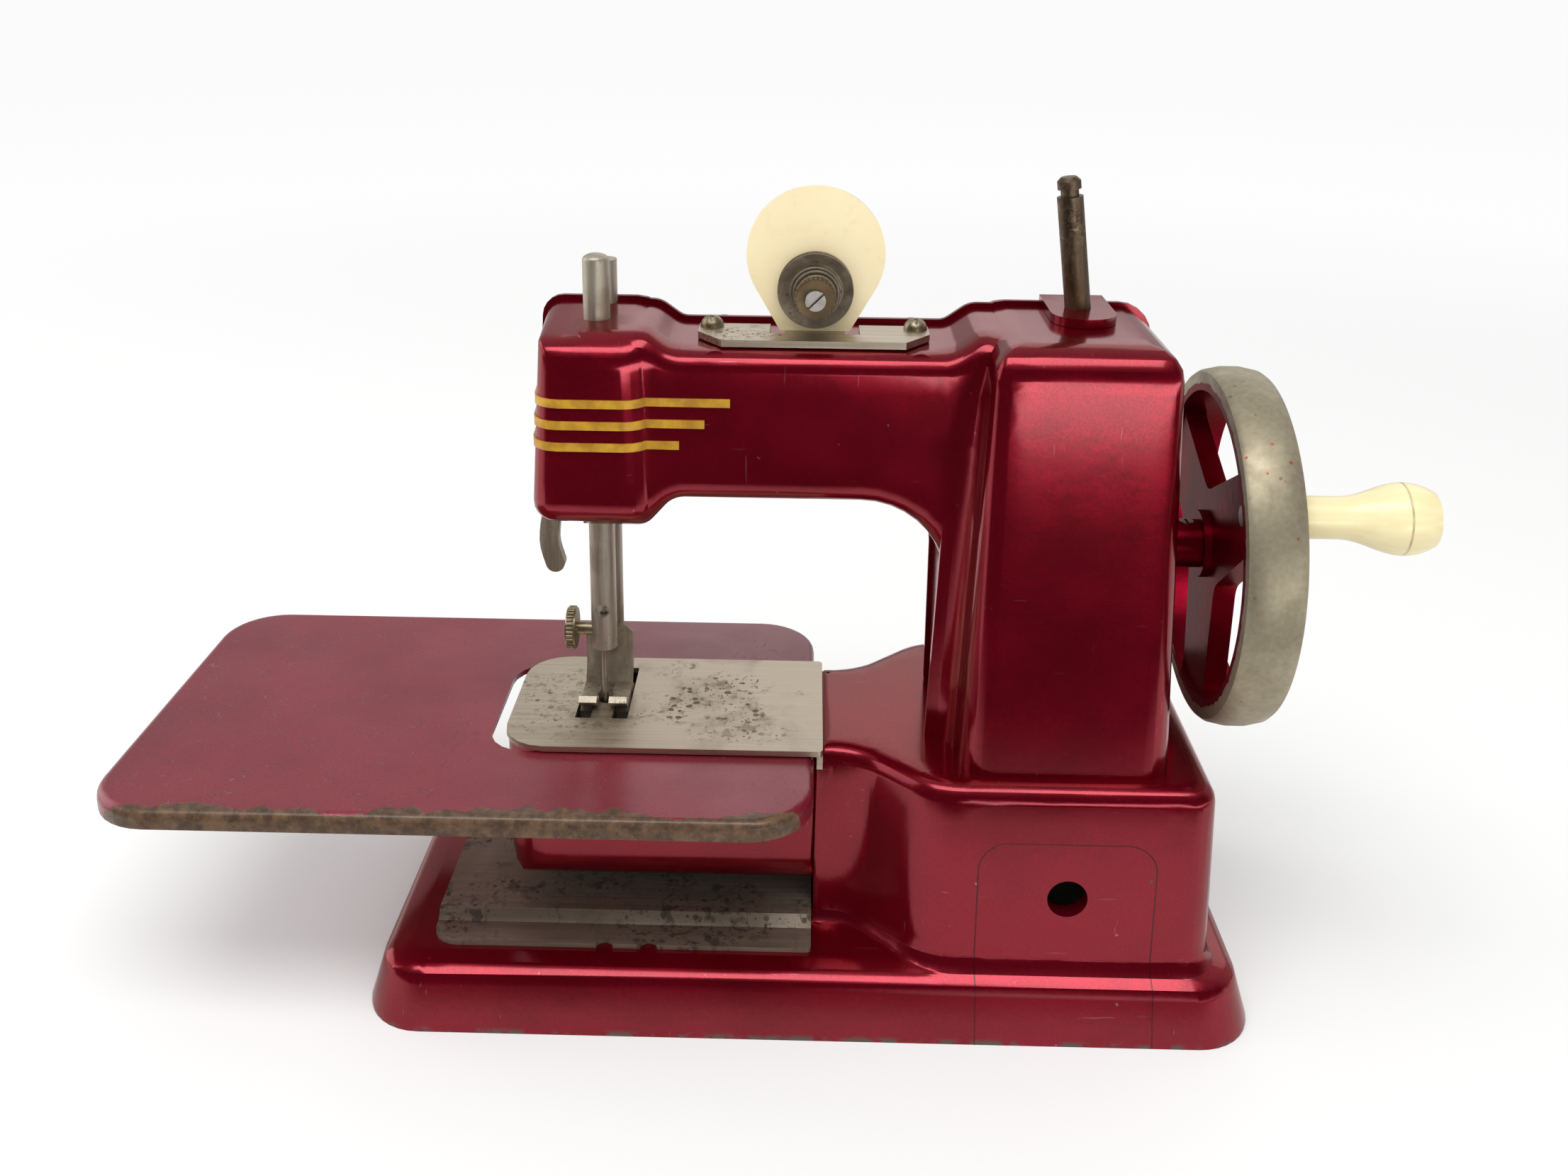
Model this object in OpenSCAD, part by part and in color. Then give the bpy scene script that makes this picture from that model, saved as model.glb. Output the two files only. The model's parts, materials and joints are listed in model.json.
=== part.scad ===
// Toy sewing machine, hand cranked: die-cast body on a base, free arm with a slide-on table.
// Millimetres. The origin is under the middle of the base, on the surface it stands on.
// +X points to the hand wheel, +Y to the back, +Z up.

/* [Base] */
// Length of the base foot
foot_len = 180; // [170:1:200]
// Depth of the base foot, front to back
foot_depth = 82; // [80:1:100]
// Radius of the foot's corners in plan
foot_corner = 12; // [10:0.5:18]
// Height of the foot's leaning rim
foot_rim = 9; // [7:0.5:10]
// Height of the foot's top shelf
foot_top = 13; // [12:0.5:15]
// How far the rim leans out at its lower edge
foot_flare = 2.5; // [1:0.25:4]
// Wall of the base casting
base_wall = 3; // [2.5:0.25:4]
// Distance from the plinth's right wall to the end of the foot
plinth_inset = 10; // [8:0.5:12]
// Depth of the plinth under the pillar
plinth_depth = 66; // [62:1:70]
// Height of the bed, to the top of the needle plate
bed_top = 52.5; // [50:0.5:56]
// Diameter of the hole in the plinth's front wall
clamp_hole_d = 8; // [6:0.5:10]

/* [Free arm and table] */
// Length of the free arm to the left of the plinth
arm_len = 64.5; // [60:0.5:70]
// Depth of the free arm
arm_depth = 37; // [35:0.5:39]
// Height of the free arm's underside
arm_under = 19.5; // [18:0.5:21]
// Wall of the free arm
arm_wall = 2; // [1.6:0.2:2.4]
// Thickness of the needle plate
plate_t = 1.2; // [1:0.1:1.5]
// Length of the slide-on table
table_len = 141; // [132:1:150]
// Depth of the slide-on table
table_depth = 88; // [84:1:100]
// Radius of the table's outer corners
table_corner = 13; // [10:0.5:16]
// Height of the table's turned-down rim
table_rim = 4; // [3.5:0.1:6]
// Thickness of the table's sheet
table_t = 1.2; // [1:0.1:1.6]

/* [Body] */
// Wall of the two body castings
cast_wall = 2.5; // [2:0.25:3]
// Height of the pillar's top
pillar_top = 138.8; // [136:0.2:145]
// Width of the pillar at its foot
pillar_w = 42; // [40:0.5:44]
// Depth of the pillar at its foot
pillar_depth = 56; // [54:0.5:58]
// Height of the arm's underside
arm_bottom = 103; // [102:0.5:105]
// Height of the arm's top
arm_top = 134.5; // [133:0.5:137]
// Height of the head's underside
head_bottom = 96.3; // [95:0.1:98]
// Height of the head's top
head_top = 138.6; // [137:0.2:141]
// How far the rear casting stands proud of the front one
rear_lip = 1; // [0.6:0.1:1.4]

/* [Drive] */
// Height of the hand wheel's axis
wheel_z = 91.5; // [90:0.5:93]
// Outer radius of the hand wheel
wheel_r = 36.5; // [34:0.5:38]
// Width of the hand wheel's rim
rim_w = 11; // [9:0.5:12]
// Diameter of the main shaft
shaft_d = 6; // [5:0.5:7]
// Diameter of the looper shaft
looper_shaft_d = 5; // [4:0.5:6]
// Module of the gears
gear_module = 1.25; // [1.2:0.01:1.27]
// Greatest diameter of the crank handle
handle_d = 14; // [12:0.5:16]
// Length of the crank handle
handle_len = 25.5; // [25:0.5:32]

/* [Needle and presser] */
// Diameter of the needle bar and of the presser bar
bar_d = 5.4; // [5:0.1:6]
// Diameter of the needle
needle_d = 1.3; // [1:0.1:1.5]
// Width of the presser foot
foot_w = 10.2; // [9:0.2:11]

/* [Thread] */
// Width of the thread guide plate
guide_w = 27.5; // [25:0.5:30]
// Diameter of the spool pin
spool_d = 5.2; // [4.5:0.1:6]
// Lean of the spool pin to the left, in degrees
spool_lean = 7.5; // [0:0.5:9]

/* [Hidden] */

$fn = 48;
// Overrun of every cut
cut = 1;
// Radial play of a running fit, of a pin's seat, and the gap between other moving pieces
run_fit = 0.05;
seat_fit = 0.02;
gap = 0.4;
// Steps of a corner arc, and of a wide arc
arc_steps = 5;
wide_arc_steps = 9;
// Radius from which an arc is a wide one
wide_r = 10;
// Least radius that an inset corner keeps
least_r = 0.2;

// Teeth of the drive gear and the looper gear, and of the idler between them
gear_teeth = 20;
idler_teeth = 24;

// Places that several pieces share
neck_x = 1;
plinth_x = foot_len / 2 - plinth_inset;
plate_z = bed_top - plate_t;
needle_x = -44.5;
presser_y = 11.5;
seam_y = 12;
pillar_x = 50.5;
pillar_draft_share = 0.04;
bar_r = bar_d / 2;
shaft_r = shaft_d / 2;
looper_r = looper_shaft_d / 2;

// Colours
red = [0.42, 0.03, 0.09];
steel = [0.62, 0.60, 0.56];
dark_steel = [0.42, 0.39, 0.35];
brass = [0.70, 0.58, 0.32];
zinc = [0.55, 0.54, 0.50];
ivory = [0.93, 0.87, 0.70];
gold = [0.83, 0.60, 0.10];

// Outlines with rounded corners, and blocks lofted from them

function unit(v) = v / norm(v);
function flat(list) = [for (part = list) for (item = part) item];
function steps(r) = r > wide_r ? wide_arc_steps : arc_steps;

// Points of one rounded corner at c, between neighbours p and q, moved inwards by inset
function corner_arc(p, c, q, r, inset) =
    let (
        u = unit(p - c),
        v = unit(q - c),
        half = acos(u * v) / 2,
        turn = cross(c - p, q - c) > 0 ? 1 : -1,
        bisector = unit(u + v),
        moved = c + bisector * turn * inset / sin(half),
        radius = max(r - turn * inset, least_r),
        middle = moved + bisector * radius / sin(half),
        start = moved + u * radius / tan(half) - middle,
        first = atan2(start[1], start[0]),
        sweep = turn * (180 - 2 * half),
        n = steps(r)
    )
    [for (k = [0 : n]) middle + radius * [cos(first + sweep * k / n), sin(first + sweep * k / n)]];

// Outline through corners [x, y, radius], anticlockwise, moved inwards by inset
function outline(corners, inset = 0) =
    let (n = len(corners))
    flat([for (i = [0 : n - 1])
        let (
            p = corners[(i + n - 1) % n],
            c = corners[i],
            q = corners[(i + 1) % n]
        )
        corner_arc([p[0], p[1]], [c[0], c[1]], [q[0], q[1]], c[2], inset)]);

function rectangle(x0, x1, y0, y1, r) = [[x0, y0, r], [x1, y0, r], [x1, y1, r], [x0, y1, r]];

// Profile [inset, height] of a wall with draft that ends in a quarter-round edge
function rounded_edge(height, fillet, draft_share, n = 4) =
    [for (k = [0 : n])
        [draft_share * (height - fillet) + fillet * (1 - cos(90 * k / n)),
            height - fillet + fillet * sin(90 * k / n)]];

// Triangles that fill an outline, cut off one corner at a time
function turn(a, b, c) = cross(b - a, c - a);
function covers(a, b, c, p) = turn(a, b, p) >= 0 && turn(b, c, p) >= 0 && turn(c, a, p) >= 0;
function is_ear(points, order, i) =
    let (
        n = len(order),
        before = (i + n - 1) % n,
        after = (i + 1) % n,
        a = points[order[before]],
        b = points[order[i]],
        c = points[order[after]]
    )
    turn(a, b, c) > 0 && len([for (k = [0 : n - 1])
        if (k != i && k != before && k != after && covers(a, b, c, points[order[k]])) k]) == 0;
function first_ear(points, order, i = 0) =
    i == len(order) - 1 || is_ear(points, order, i) ? i : first_ear(points, order, i + 1);
function fill(points, order) =
    len(order) == 3 ? [order] :
    let (
        n = len(order),
        i = first_ear(points, order)
    )
    concat([[order[(i + n - 1) % n], order[i], order[(i + 1) % n]]],
        fill(points, [for (k = [0 : n - 1]) if (k != i) order[k]]));

// Solid through level rings of points, all with the same count, anticlockwise seen from above
module loft(rings) {
    n = len(rings[0]);
    last = len(rings) - 1;
    sides = [for (k = [0 : last - 1]) for (i = [0 : n - 1])
        let (a = k * n + i, b = k * n + (i + 1) % n)
        each [[a, a + n, b + n], [a, b + n, b]]];
    order = [for (i = [0 : n - 1]) i];
    bottom = fill([for (p = rings[0]) [p[0], p[1]]], order);
    lid = fill([for (p = rings[last]) [p[0], p[1]]], order);
    top = [for (t = lid) last * n * [1, 1, 1] + [t[2], t[1], t[0]]];
    polyhedron(flat(rings), concat(sides, bottom, top), convexity = 8);
}

// Block lofted upwards through the outline of its corners, one ring for each step of the profile
module loft_block(corners, profile)
    loft([for (step = profile) [for (p = outline(corners, step[0])) [p[0], p[1], step[1]]]]);

// Turns a shape drawn in X and Z, and raised towards the front, into place at depth y
module facing_front(y) translate([0, y, 0]) rotate([90, 0, 0]) children();

module slab(corners, height, inset = 0) linear_extrude(height) polygon(outline(corners, inset));

module rod_x(d, x0, x1, y, z) translate([x0, y, z]) rotate([0, 90, 0]) cylinder(h = x1 - x0, d = d);

module rod_y(d, y0, y1, x, z, sides = $fn) translate([x, y1, z]) rotate([90, 0, 0])
    cylinder(h = y1 - y0, d = d, $fn = sides);

module rod_z(d, z0, z1, x, y, sides = $fn) translate([x, y, z0]) cylinder(h = z1 - z0, d = d, $fn = sides);

module box(x, y, z) translate([x[0], y[0], z[0]]) cube([x[1] - x[0], y[1] - y[0], z[1] - z[0]]);

// Solid of revolution along +X through [x, r] points
module turned_x(points, y, z) translate([0, y, z]) rotate([0, 90, 0]) rotate_extrude()
    polygon([for (p = points) [p[1], p[0]]]);

// Base casting, with the plinth that carries the pillar

clamp_x = 51.3;
clamp_z = 28.8;
ogee_r = 14;
ogee_x0 = neck_x + 8;
ogee_x1 = neck_x + 23;
plinth_corner = 5;
plinth_fillet = 3.5;
plinth_draft_share = 0.02;
neck_corner = 1;
gear_opening_x = [52, 63];
gear_opening_y = 17;
looper_z = wheel_z - gear_module * (gear_teeth + idler_teeth);
idler_z = wheel_z - gear_module * (gear_teeth + idler_teeth) / 2;
bush_wall = 1.5;
bush_len = 5;
bearing_x = [66, 70];
cover_x = [-77, neck_x - 0.4];
cover_front = -31;
cover_back = 28;
cover_step = -22;
cover_rise = 2;
cover_t = 1;
cover_corner = 5;
cover_opening = 8;
cover_notch_r = 1.7;
cover_notch_gap = 4.5;
cover_notch_x = -37;
screw_d = 3;
screw_head_d = 5.4;
screw_head_t = 1.8;
boss_d = 7.5;
boss_h = 2;
screw_boss_d = 6;
body_screw_x = [pillar_x - pillar_w / 2 + 5.5, pillar_x + pillar_w / 2 - 5.5];
body_screw_y = pillar_depth / 2 - 7;
rear_screw_y = 17;
body_screw_len = 12;
arm_screw_y = 11;
arm_screw_z = arm_under + 7;
arm_screw_len = 7;
fillet_shares = [[0.28, 0.55], [1, 0.85], [2.4, 1]];

plinth_corners = [
    [neck_x, -arm_depth / 2, neck_corner], [ogee_x0, -arm_depth / 2, ogee_r],
    [ogee_x1, -plinth_depth / 2, ogee_r], [plinth_x, -plinth_depth / 2, plinth_corner],
    [plinth_x, plinth_depth / 2, plinth_corner], [ogee_x1, plinth_depth / 2, ogee_r],
    [ogee_x0, arm_depth / 2, ogee_r], [neck_x, arm_depth / 2, neck_corner]];

foot_corners = rectangle(-foot_len / 2, foot_len / 2, -foot_depth / 2, foot_depth / 2, foot_corner);

// The foot's rim leans in to its top edge, which rounds over to the shelf
foot_profile = concat(
    [[0, 0], [0, 1], [foot_flare, foot_rim]],
    [for (share = fillet_shares)
        [foot_flare + share[0] * foot_flare, foot_rim + share[1] * (foot_top - foot_rim)]]);

plinth_profile = concat(
    [[-3 * plinth_draft_share * bed_top, foot_top - cut], [-plinth_draft_share * bed_top, foot_top + 2]],
    rounded_edge(bed_top, plinth_fillet, 0));

module screw_hole_z(x, y, z0, z1, sides = $fn) rod_z(screw_d + 2 * run_fit, z0, z1, x, y, sides);

module base_casting() color(red) difference() {
    union() {
        difference() {
            union() {
                loft_block(foot_corners, foot_profile);
                intersection() {
                    loft_block(plinth_corners, plinth_profile);
                    box([neck_x, foot_len], [-foot_depth, foot_depth], [0, 2 * bed_top]);
                }
                // Raised platform under the cover plate
                box([cover_x[0] + cover_rise, neck_x + cut], [cover_step + cover_rise, cover_back],
                    [foot_top - cut, foot_top + cover_rise]);
            }
            // Hollow of the foot, open below
            translate([0, 0, -cut]) slab(foot_corners, foot_top - base_wall + cut, base_wall + foot_flare);
            // Hollow of the plinth
            translate([0, 0, -cut]) slab(plinth_corners, bed_top - base_wall + cut, base_wall);
            // Access opening under the cover plate
            box([cover_x[0] + cover_opening, neck_x - cover_opening],
                [cover_step + cover_opening, cover_back - cover_opening], [0, bed_top / 2]);
        }
        // Bearing wall for the right end of the looper shaft
        box(bearing_x, [-plinth_depth / 2 + cut, plinth_depth / 2 - cut],
            [looper_z - boss_d, looper_z + boss_d]);
        // Bosses for the screws that hold the pillar
        for (x = body_screw_x, y = [-body_screw_y, rear_screw_y])
            rod_z(boss_d, bed_top - base_wall - boss_h, bed_top - cut, x, y);
    }
    // Seat of the needle plate's right end
    box([neck_x - cut, plate_right + gap], [-plinth_depth, plinth_depth], [plate_z, bed_top + cut]);
    // Opening for the gears, and seats of the looper shaft's bushes
    box(gear_opening_x, [-gear_opening_y, gear_opening_y], [bed_top - base_wall - cut, bed_top + cut]);
    rod_x(looper_shaft_d + 2 * bush_wall, neck_x - cut, neck_x + base_wall + cut, 0, looper_z);
    rod_x(looper_shaft_d + 2 * bush_wall, bearing_x[0] - cut, bearing_x[1] + cut, 0, looper_z);
    // Clamp hole in the front wall
    rod_y(clamp_hole_d, -plinth_depth / 2 - base_wall, -plinth_depth / 2 + 2 * base_wall, clamp_x, clamp_z);
    for (x = body_screw_x, y = [-body_screw_y, rear_screw_y])
        screw_hole_z(x, y, bed_top - boss_d, bed_top + cut);
    for (y = [-arm_screw_y, arm_screw_y])
        rod_x(screw_d + 2 * run_fit, neck_x - cut, neck_x + arm_screw_len, y, arm_screw_z);
}

// The cover's front strip lies on the shelf, and its rear part on the raised platform
module base_cover_plate() color(steel) {
    low = foot_top;
    high = foot_top + cover_rise;
    plan = [[cover_x[0], cover_front, cover_corner], [cover_x[1], cover_front, neck_corner],
        [cover_x[1], cover_back, neck_corner], [cover_x[0], cover_back, cover_corner]];
    difference() {
        intersection() {
            translate([cover_x[0] - cut, 0, 0]) rotate([90, 0, 90])
                linear_extrude(cover_x[1] - cover_x[0] + 2 * cut)
                polygon([[cover_front, low], [cover_step - cover_rise, low], [cover_step, high],
                    [cover_back, high], [cover_back, high + cover_t],
                    [cover_step - cover_t / 2, high + cover_t],
                    [cover_step - cover_rise - cover_t / 2, low + cover_t], [cover_front, low + cover_t]]);
            translate([0, 0, low - cut]) slab(plan, bed_top);
        }
        for (side = [-1, 1])
            rod_z(2 * cover_notch_r, 0, bed_top, cover_notch_x + side * cover_notch_gap, cover_front);
    }
}

// Free arm, needle plate and table

free_end = neck_x - arm_len;
arm_corner = 8;
arm_belly_r = 6;
ledge_w = 2.6;
ledge_t = 2;
ledge_x = [free_end + 9, neck_x - 3];
web_x = [-37, -33];
rail_x = [-55.5, -53.5];
feed_z = 44;
plate_right = neck_x + 1.4;
plate_overhang = 1.5;
plate_end = 0.3;
cut_out_end = 3.4;
plate_corner = 9;
slot_w = 3.3;
slot_y = [-8, 15];
slot_gap = 3.9;
needle_hole_d = 3;
plate_tab = [1.2, 1, 4];
table_play = 0.7;
table_edge_r = 1.5 * table_t;
table_top = plate_z - gap;
table_right = neck_x - gap;

arm_plan = [[free_end, -arm_depth / 2, arm_corner], [neck_x, -arm_depth / 2, neck_corner],
    [neck_x, arm_depth / 2, neck_corner], [free_end, arm_depth / 2, arm_corner]];
arm_side = [[free_end, arm_under, arm_corner], [neck_x + arm_corner, arm_under, neck_corner],
    [neck_x + arm_corner, plate_z + arm_corner, neck_corner], [free_end, plate_z + arm_corner, neck_corner]];
arm_section = [[-arm_depth / 2, arm_under, arm_belly_r], [arm_depth / 2, arm_under, arm_belly_r],
    [arm_depth / 2, plate_z + arm_corner, neck_corner], [-arm_depth / 2, plate_z + arm_corner, neck_corner]];

// Trough shape: plan, side view and section cut to each other
module trough(inset, height) intersection() {
    slab(arm_plan, height, inset);
    facing_front(arm_depth) slab(arm_side, 2 * arm_depth, inset);
    translate([free_end - cut, 0, 0]) rotate([90, 0, 90]) slab(arm_section, arm_len + 2 * cut, inset);
}

module free_arm() color(red) difference() {
    union() {
        difference() {
            trough(0, plate_z);
            trough(arm_wall, plate_z + cut);
        }
        // Rails that carry the feed dog, the right one with the looper shaft's bearing
        for (x = [rail_x, web_x])
            intersection() {
                box(x, [-arm_depth / 2, arm_depth / 2], [arm_under, feed_z]);
                trough(arm_wall / 2, plate_z);
            }
        // Ledges that carry the table
        for (side = [-1, 1])
            box(ledge_x, side > 0 ? [arm_depth / 2 - cut, arm_depth / 2 + ledge_w]
                : [-arm_depth / 2 - ledge_w, -arm_depth / 2 + cut],
                [table_top - table_t - ledge_t, table_top - table_t]);
    }
    rod_x(looper_shaft_d + 2 * bush_wall, web_x[0] - cut, web_x[1] + cut, 0, looper_z);
    // Passage of the looper shaft, and screw holes, in the right end wall
    rod_x(looper_shaft_d + 2 * bush_wall, neck_x - arm_wall - cut, neck_x + cut, 0, looper_z);
    for (y = [-arm_screw_y, arm_screw_y])
        rod_x(screw_d + 2 * run_fit, neck_x - arm_wall - cut, neck_x + cut, y, arm_screw_z);
    // Room above the rails for the looper, which turns between them
    box([rail_x[1], web_x[0]], [-arm_depth / 2 + arm_wall, arm_depth / 2 - arm_wall],
        [feed_z - cut, plate_z + cut]);
}

// Round-head screw along +X, its head's underside at x
module screw_x(x, y, z, length) {
    rod_x(screw_d, x, x + length, y, z);
    rod_x(screw_head_d, x - screw_head_t, x, y, z);
}

module free_arm_screws() color(steel) for (y = [-arm_screw_y, arm_screw_y])
    screw_x(neck_x - arm_wall, y, arm_screw_z, arm_wall + arm_screw_len - cut);

module needle_plate() color(steel) {
    half = arm_depth / 2 + plate_overhang;
    plan = [[free_end - plate_end, -half, plate_corner], [plate_right, -half, neck_corner],
        [plate_right, half, neck_corner], [free_end - plate_end, half, plate_corner]];
    difference() {
        translate([0, 0, plate_z]) slab(plan, plate_t);
        for (side = [-1, 1])
            box([needle_x + side * slot_gap - slot_w / 2, needle_x + side * slot_gap + slot_w / 2], slot_y,
                [plate_z - cut, bed_top + cut]);
        rod_z(needle_hole_d, plate_z - cut, bed_top + cut, needle_x, 0);
    }
    // Turned-down tab at the front right corner
    box([plate_right - plate_tab[0], plate_right], [-half, -half + plate_tab[1]],
        [bed_top - plate_tab[2], plate_z]);
}

// Sheet with a turned-down rim, cut out round the free arm
module extension_table() color(red) {
    x0 = table_right - table_len;
    half = table_depth / 2;
    opening = arm_depth / 2 + table_play;
    ledge_room = arm_depth / 2 + ledge_w + gap;
    plan = rectangle(x0, table_right, -half, half, table_corner);
    past = table_right + table_corner;
    cut_out = [[free_end - cut_out_end, -opening, arm_corner], [past, -opening, neck_corner],
        [past, opening, neck_corner], [free_end - cut_out_end, opening, arm_corner]];
    difference() {
        translate([0, 0, table_top - table_rim]) loft_block(plan,
            concat([[0, 0]], rounded_edge(table_rim, table_edge_r, 0)));
        translate([0, 0, table_top - table_rim - cut]) slab(plan, table_rim - table_t + cut, table_t);
        translate([0, 0, table_top - table_rim - cut]) slab(cut_out, table_rim + 2 * cut);
        // The right end's rim stops short of the ledges that it slides over
        box([table_right - table_t - cut, table_right + cut], [-ledge_room, ledge_room],
            [table_top - table_rim - cut, table_top - table_t]);
    }
}

// Body castings: pillar, arm and head, parted at the seam

arm_front = -13;
arm_back = 22;
pillar_back = 25;
rear_fillet = 8;
head_front = -15.2;
head_back = 23;
web_left = 26;
web_curve_r = 17;
cast_fillet = 4;
lip_w = 1.2;
pillar_fillet = 6;
pillar_corner = 6;
head_x_bottom = [-59, -30.2];
head_x_top = [-56.4, -31.4];
head_draft_share = 0.09;
head_fillet = 5;
head_corner = 6.5;
head_top_corner = 3.5;
arm_head_x = head_x_top[0] + 9;
step_short = 0.6;
step_r = 4.5;
head_step_x = [-33.2, -28.4];
pillar_step_x = [26.4, 31.6];
under_step_x = [-33.6, -28.2];
block_draft_share = 0.02;
bar_slack = 0.3;
rocker_x = 0;
rocker_z = 119;
rocker_pin_d = 5;
boss_wall = 2;
pin_boss_h = 4;
bush_x = [62, 71.5];
lug_w = 13;
lug_x = 52.6;
lug_front = -7.5;
lug_t = 1.8;
spool_y = 3;
spool_x = 52.4;
spool_hole_depth = 5;
lifter_x = -46.5;
lifter_z = 105.5;
lifter_pin_d = 3;
lifter_y = [15.6, 18.4];
lifter_head_t = 0.6;
lifter_head_y = 14.6;
lifter_slot_top = 113.5;
lifter_room_x = [-52.5, -38];
lifter_room_z = [101, 126];
casing_screw_places = [[-20, arm_top - 3.3], [20, arm_top - 3.3], [pillar_x - 5, pillar_top - 10],
    [pillar_x + 12, pillar_top - 10], [pillar_x - 12, bed_top + 18], [pillar_x + 15, bed_top + 18]];
casing_fn = 24;
casing_screw_len = 20;
boss_sunk = 0.5;
rear_hollow_share = 0.7;

// How far the head's sides draw in between the seam and its rounded front edge
head_drawn_in = head_draft_share * (seam_y - head_front - head_fillet);
head_corners = [[head_x_bottom[0], head_bottom, head_corner], [head_x_bottom[1], head_bottom, head_corner],
    [head_x_top[1], head_top, head_corner], [head_x_top[0], head_top, head_top_corner]];

// The arm and the web that runs down behind the pillar's face. Its top steps up to the pillar and
// to the head in soft bends, and its underside steps down to the head's.
step_zs = [head_bottom + step_short, head_top - step_short, pillar_top - step_short];
arm_corners = [[arm_head_x, step_zs[0], neck_corner], [under_step_x[0], step_zs[0], step_r],
    [under_step_x[1], arm_bottom, step_r], [web_left, arm_bottom, web_curve_r],
    [web_left, bed_top, neck_corner], [pillar_x, bed_top, neck_corner],
    [pillar_x, step_zs[2], neck_corner], [pillar_step_x[1], step_zs[2], step_r],
    [pillar_step_x[0], arm_top, step_r], [head_step_x[1], arm_top, step_r],
    [head_step_x[0], step_zs[1], step_r], [arm_head_x, step_zs[1], neck_corner]];

// What is hollow inside them, without the steps
arm_room = [[arm_head_x, arm_bottom, neck_corner], [web_left, arm_bottom, web_curve_r],
    [web_left, bed_top, neck_corner], [pillar_x, bed_top, neck_corner],
    [pillar_x, arm_top, neck_corner], [arm_head_x, arm_top, neck_corner]];

pillar_left = pillar_x - pillar_w / 2;
pillar_right = pillar_x + pillar_w / 2;
pillar_corners = rectangle(pillar_left, pillar_right, -pillar_depth / 2, pillar_depth / 2, pillar_corner);

pillar_top_in = pillar_draft_share * (pillar_top - bed_top);
pillar_face = [[pillar_left, bed_top, neck_corner], [pillar_right, bed_top, neck_corner],
    [pillar_right - pillar_top_in, pillar_top, pillar_corner],
    [pillar_left + pillar_top_in, pillar_top, pillar_corner]];

module pillar_block() translate([0, 0, bed_top]) loft_block(pillar_corners,
    concat([[0, 0]], rounded_edge(pillar_top - bed_top, pillar_fillet, pillar_draft_share)));

module pillar_hollow() {
    translate([0, 0, bed_top - cut]) loft_block(pillar_corners,
        [[cast_wall, 0], [cast_wall + pillar_top_in, pillar_top - bed_top - cast_wall + cut]]);
}

// Block of a casting from the seam to its front face
module front_block(corners, depth, fillet, draft_share) facing_front(seam_y) loft_block(corners,
    concat([[0, 0]], rounded_edge(depth, fillet, draft_share)));

// Block from the seam to the back: a lip stands proud of the front casting, then it rounds off
module rear_block(corners, depth) translate([0, seam_y, 0]) mirror([0, 1, 0]) rotate([90, 0, 0])
    loft_block(corners, concat([[-rear_lip, 0], [-rear_lip, lip_w]], rounded_edge(depth, rear_fillet, 0)));

module above_bed(side) box([-foot_len, foot_len], side > 0 ? [-foot_depth, seam_y] : [seam_y, foot_depth],
    [bed_top, 2 * pillar_top]);

module front_masses() {
    front_block(head_corners, seam_y - head_front, head_fillet, head_draft_share);
    intersection() {
        union() {
            front_block(arm_corners, seam_y - arm_front, cast_fillet, block_draft_share);
            pillar_block();
            web_blend();
        }
        above_bed(1);
    }
}

module rear_masses() {
    rear_block(head_corners, head_back - seam_y);
    intersection() {
        union() {
            rear_block(arm_corners, arm_back - seam_y);
            rear_block(pillar_face, pillar_back - seam_y);
        }
        above_bed(-1);
    }
}

// Hollow round between the web's face and the pillar's left side, fading out under the arm's top
blend_r = 6;
blend_steps = 4;
blend_station_shares = [[0, 1], [0.8, 1], [0.93, 0.7], [1, 0.15]];

module web_blend() {
    reach = arm_top - bed_top - cast_fillet / 2;
    rings = [for (station = blend_station_shares)
        let (
            x = pillar_x - pillar_w / 2 + pillar_draft_share * reach * station[0],
            r = blend_r * station[1]
        )
        concat(
            [[x + 2 * cut, arm_front + 2 * cut], [x - r, arm_front + 2 * cut]],
            [for (k = [0 : blend_steps])
                [x - r * (1 - sin(90 * k / blend_steps)), arm_front - r * (1 - cos(90 * k / blend_steps))]],
            [[x + 2 * cut, arm_front - r]])];
    loft([for (i = [0 : len(rings) - 1])
        [for (p = rings[i]) [p[0], p[1], bed_top + reach * blend_station_shares[i][0]]]]);
}

// Hollow of the head and of the arm, right through both castings but for their faces
module arm_hollow() {
    depth = head_back - head_front - 2 * cast_wall;
    facing_front(head_back - cast_wall) slab(head_corners, depth, cast_wall + head_drawn_in);
    facing_front(arm_back - cast_wall) slab(arm_room, arm_back - arm_front - 2 * cast_wall, cast_wall);
}

// Depth of the seat of a casing screw's head, and how far forward its boss runs
function casing_seat(place) =
    (place[0] > pillar_left ? pillar_back : arm_back) - cast_wall - screw_head_t / 2;
function casing_boss_y(place) = place[0] < pillar_left ? arm_front + cast_wall - boss_sunk
    : -pillar_depth / 2 + cast_wall + pillar_draft_share * (place[1] - bed_top);

// Hollow of the rear casting, drawn in as its back rounds off
module rear_hollow()
    for (part = [[head_corners, head_back], [arm_room, arm_back], [pillar_face, pillar_back]])
        translate([0, seam_y - cut, 0]) mirror([0, 1, 0]) rotate([90, 0, 0]) loft_block(part[0],
            [[cast_wall, 0], [cast_wall, part[1] - seam_y - rear_fillet + cut],
                [cast_wall + rear_hollow_share * rear_fillet, part[1] - seam_y - cast_wall + cut]]);

module spool_bore() translate([spool_x, spool_y, pillar_top]) rotate([0, -spool_lean, 0])
    rod_z(spool_d + 2 * seat_fit, -spool_hole_depth, 2 * lug_t + cut, 0, 0);

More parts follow.
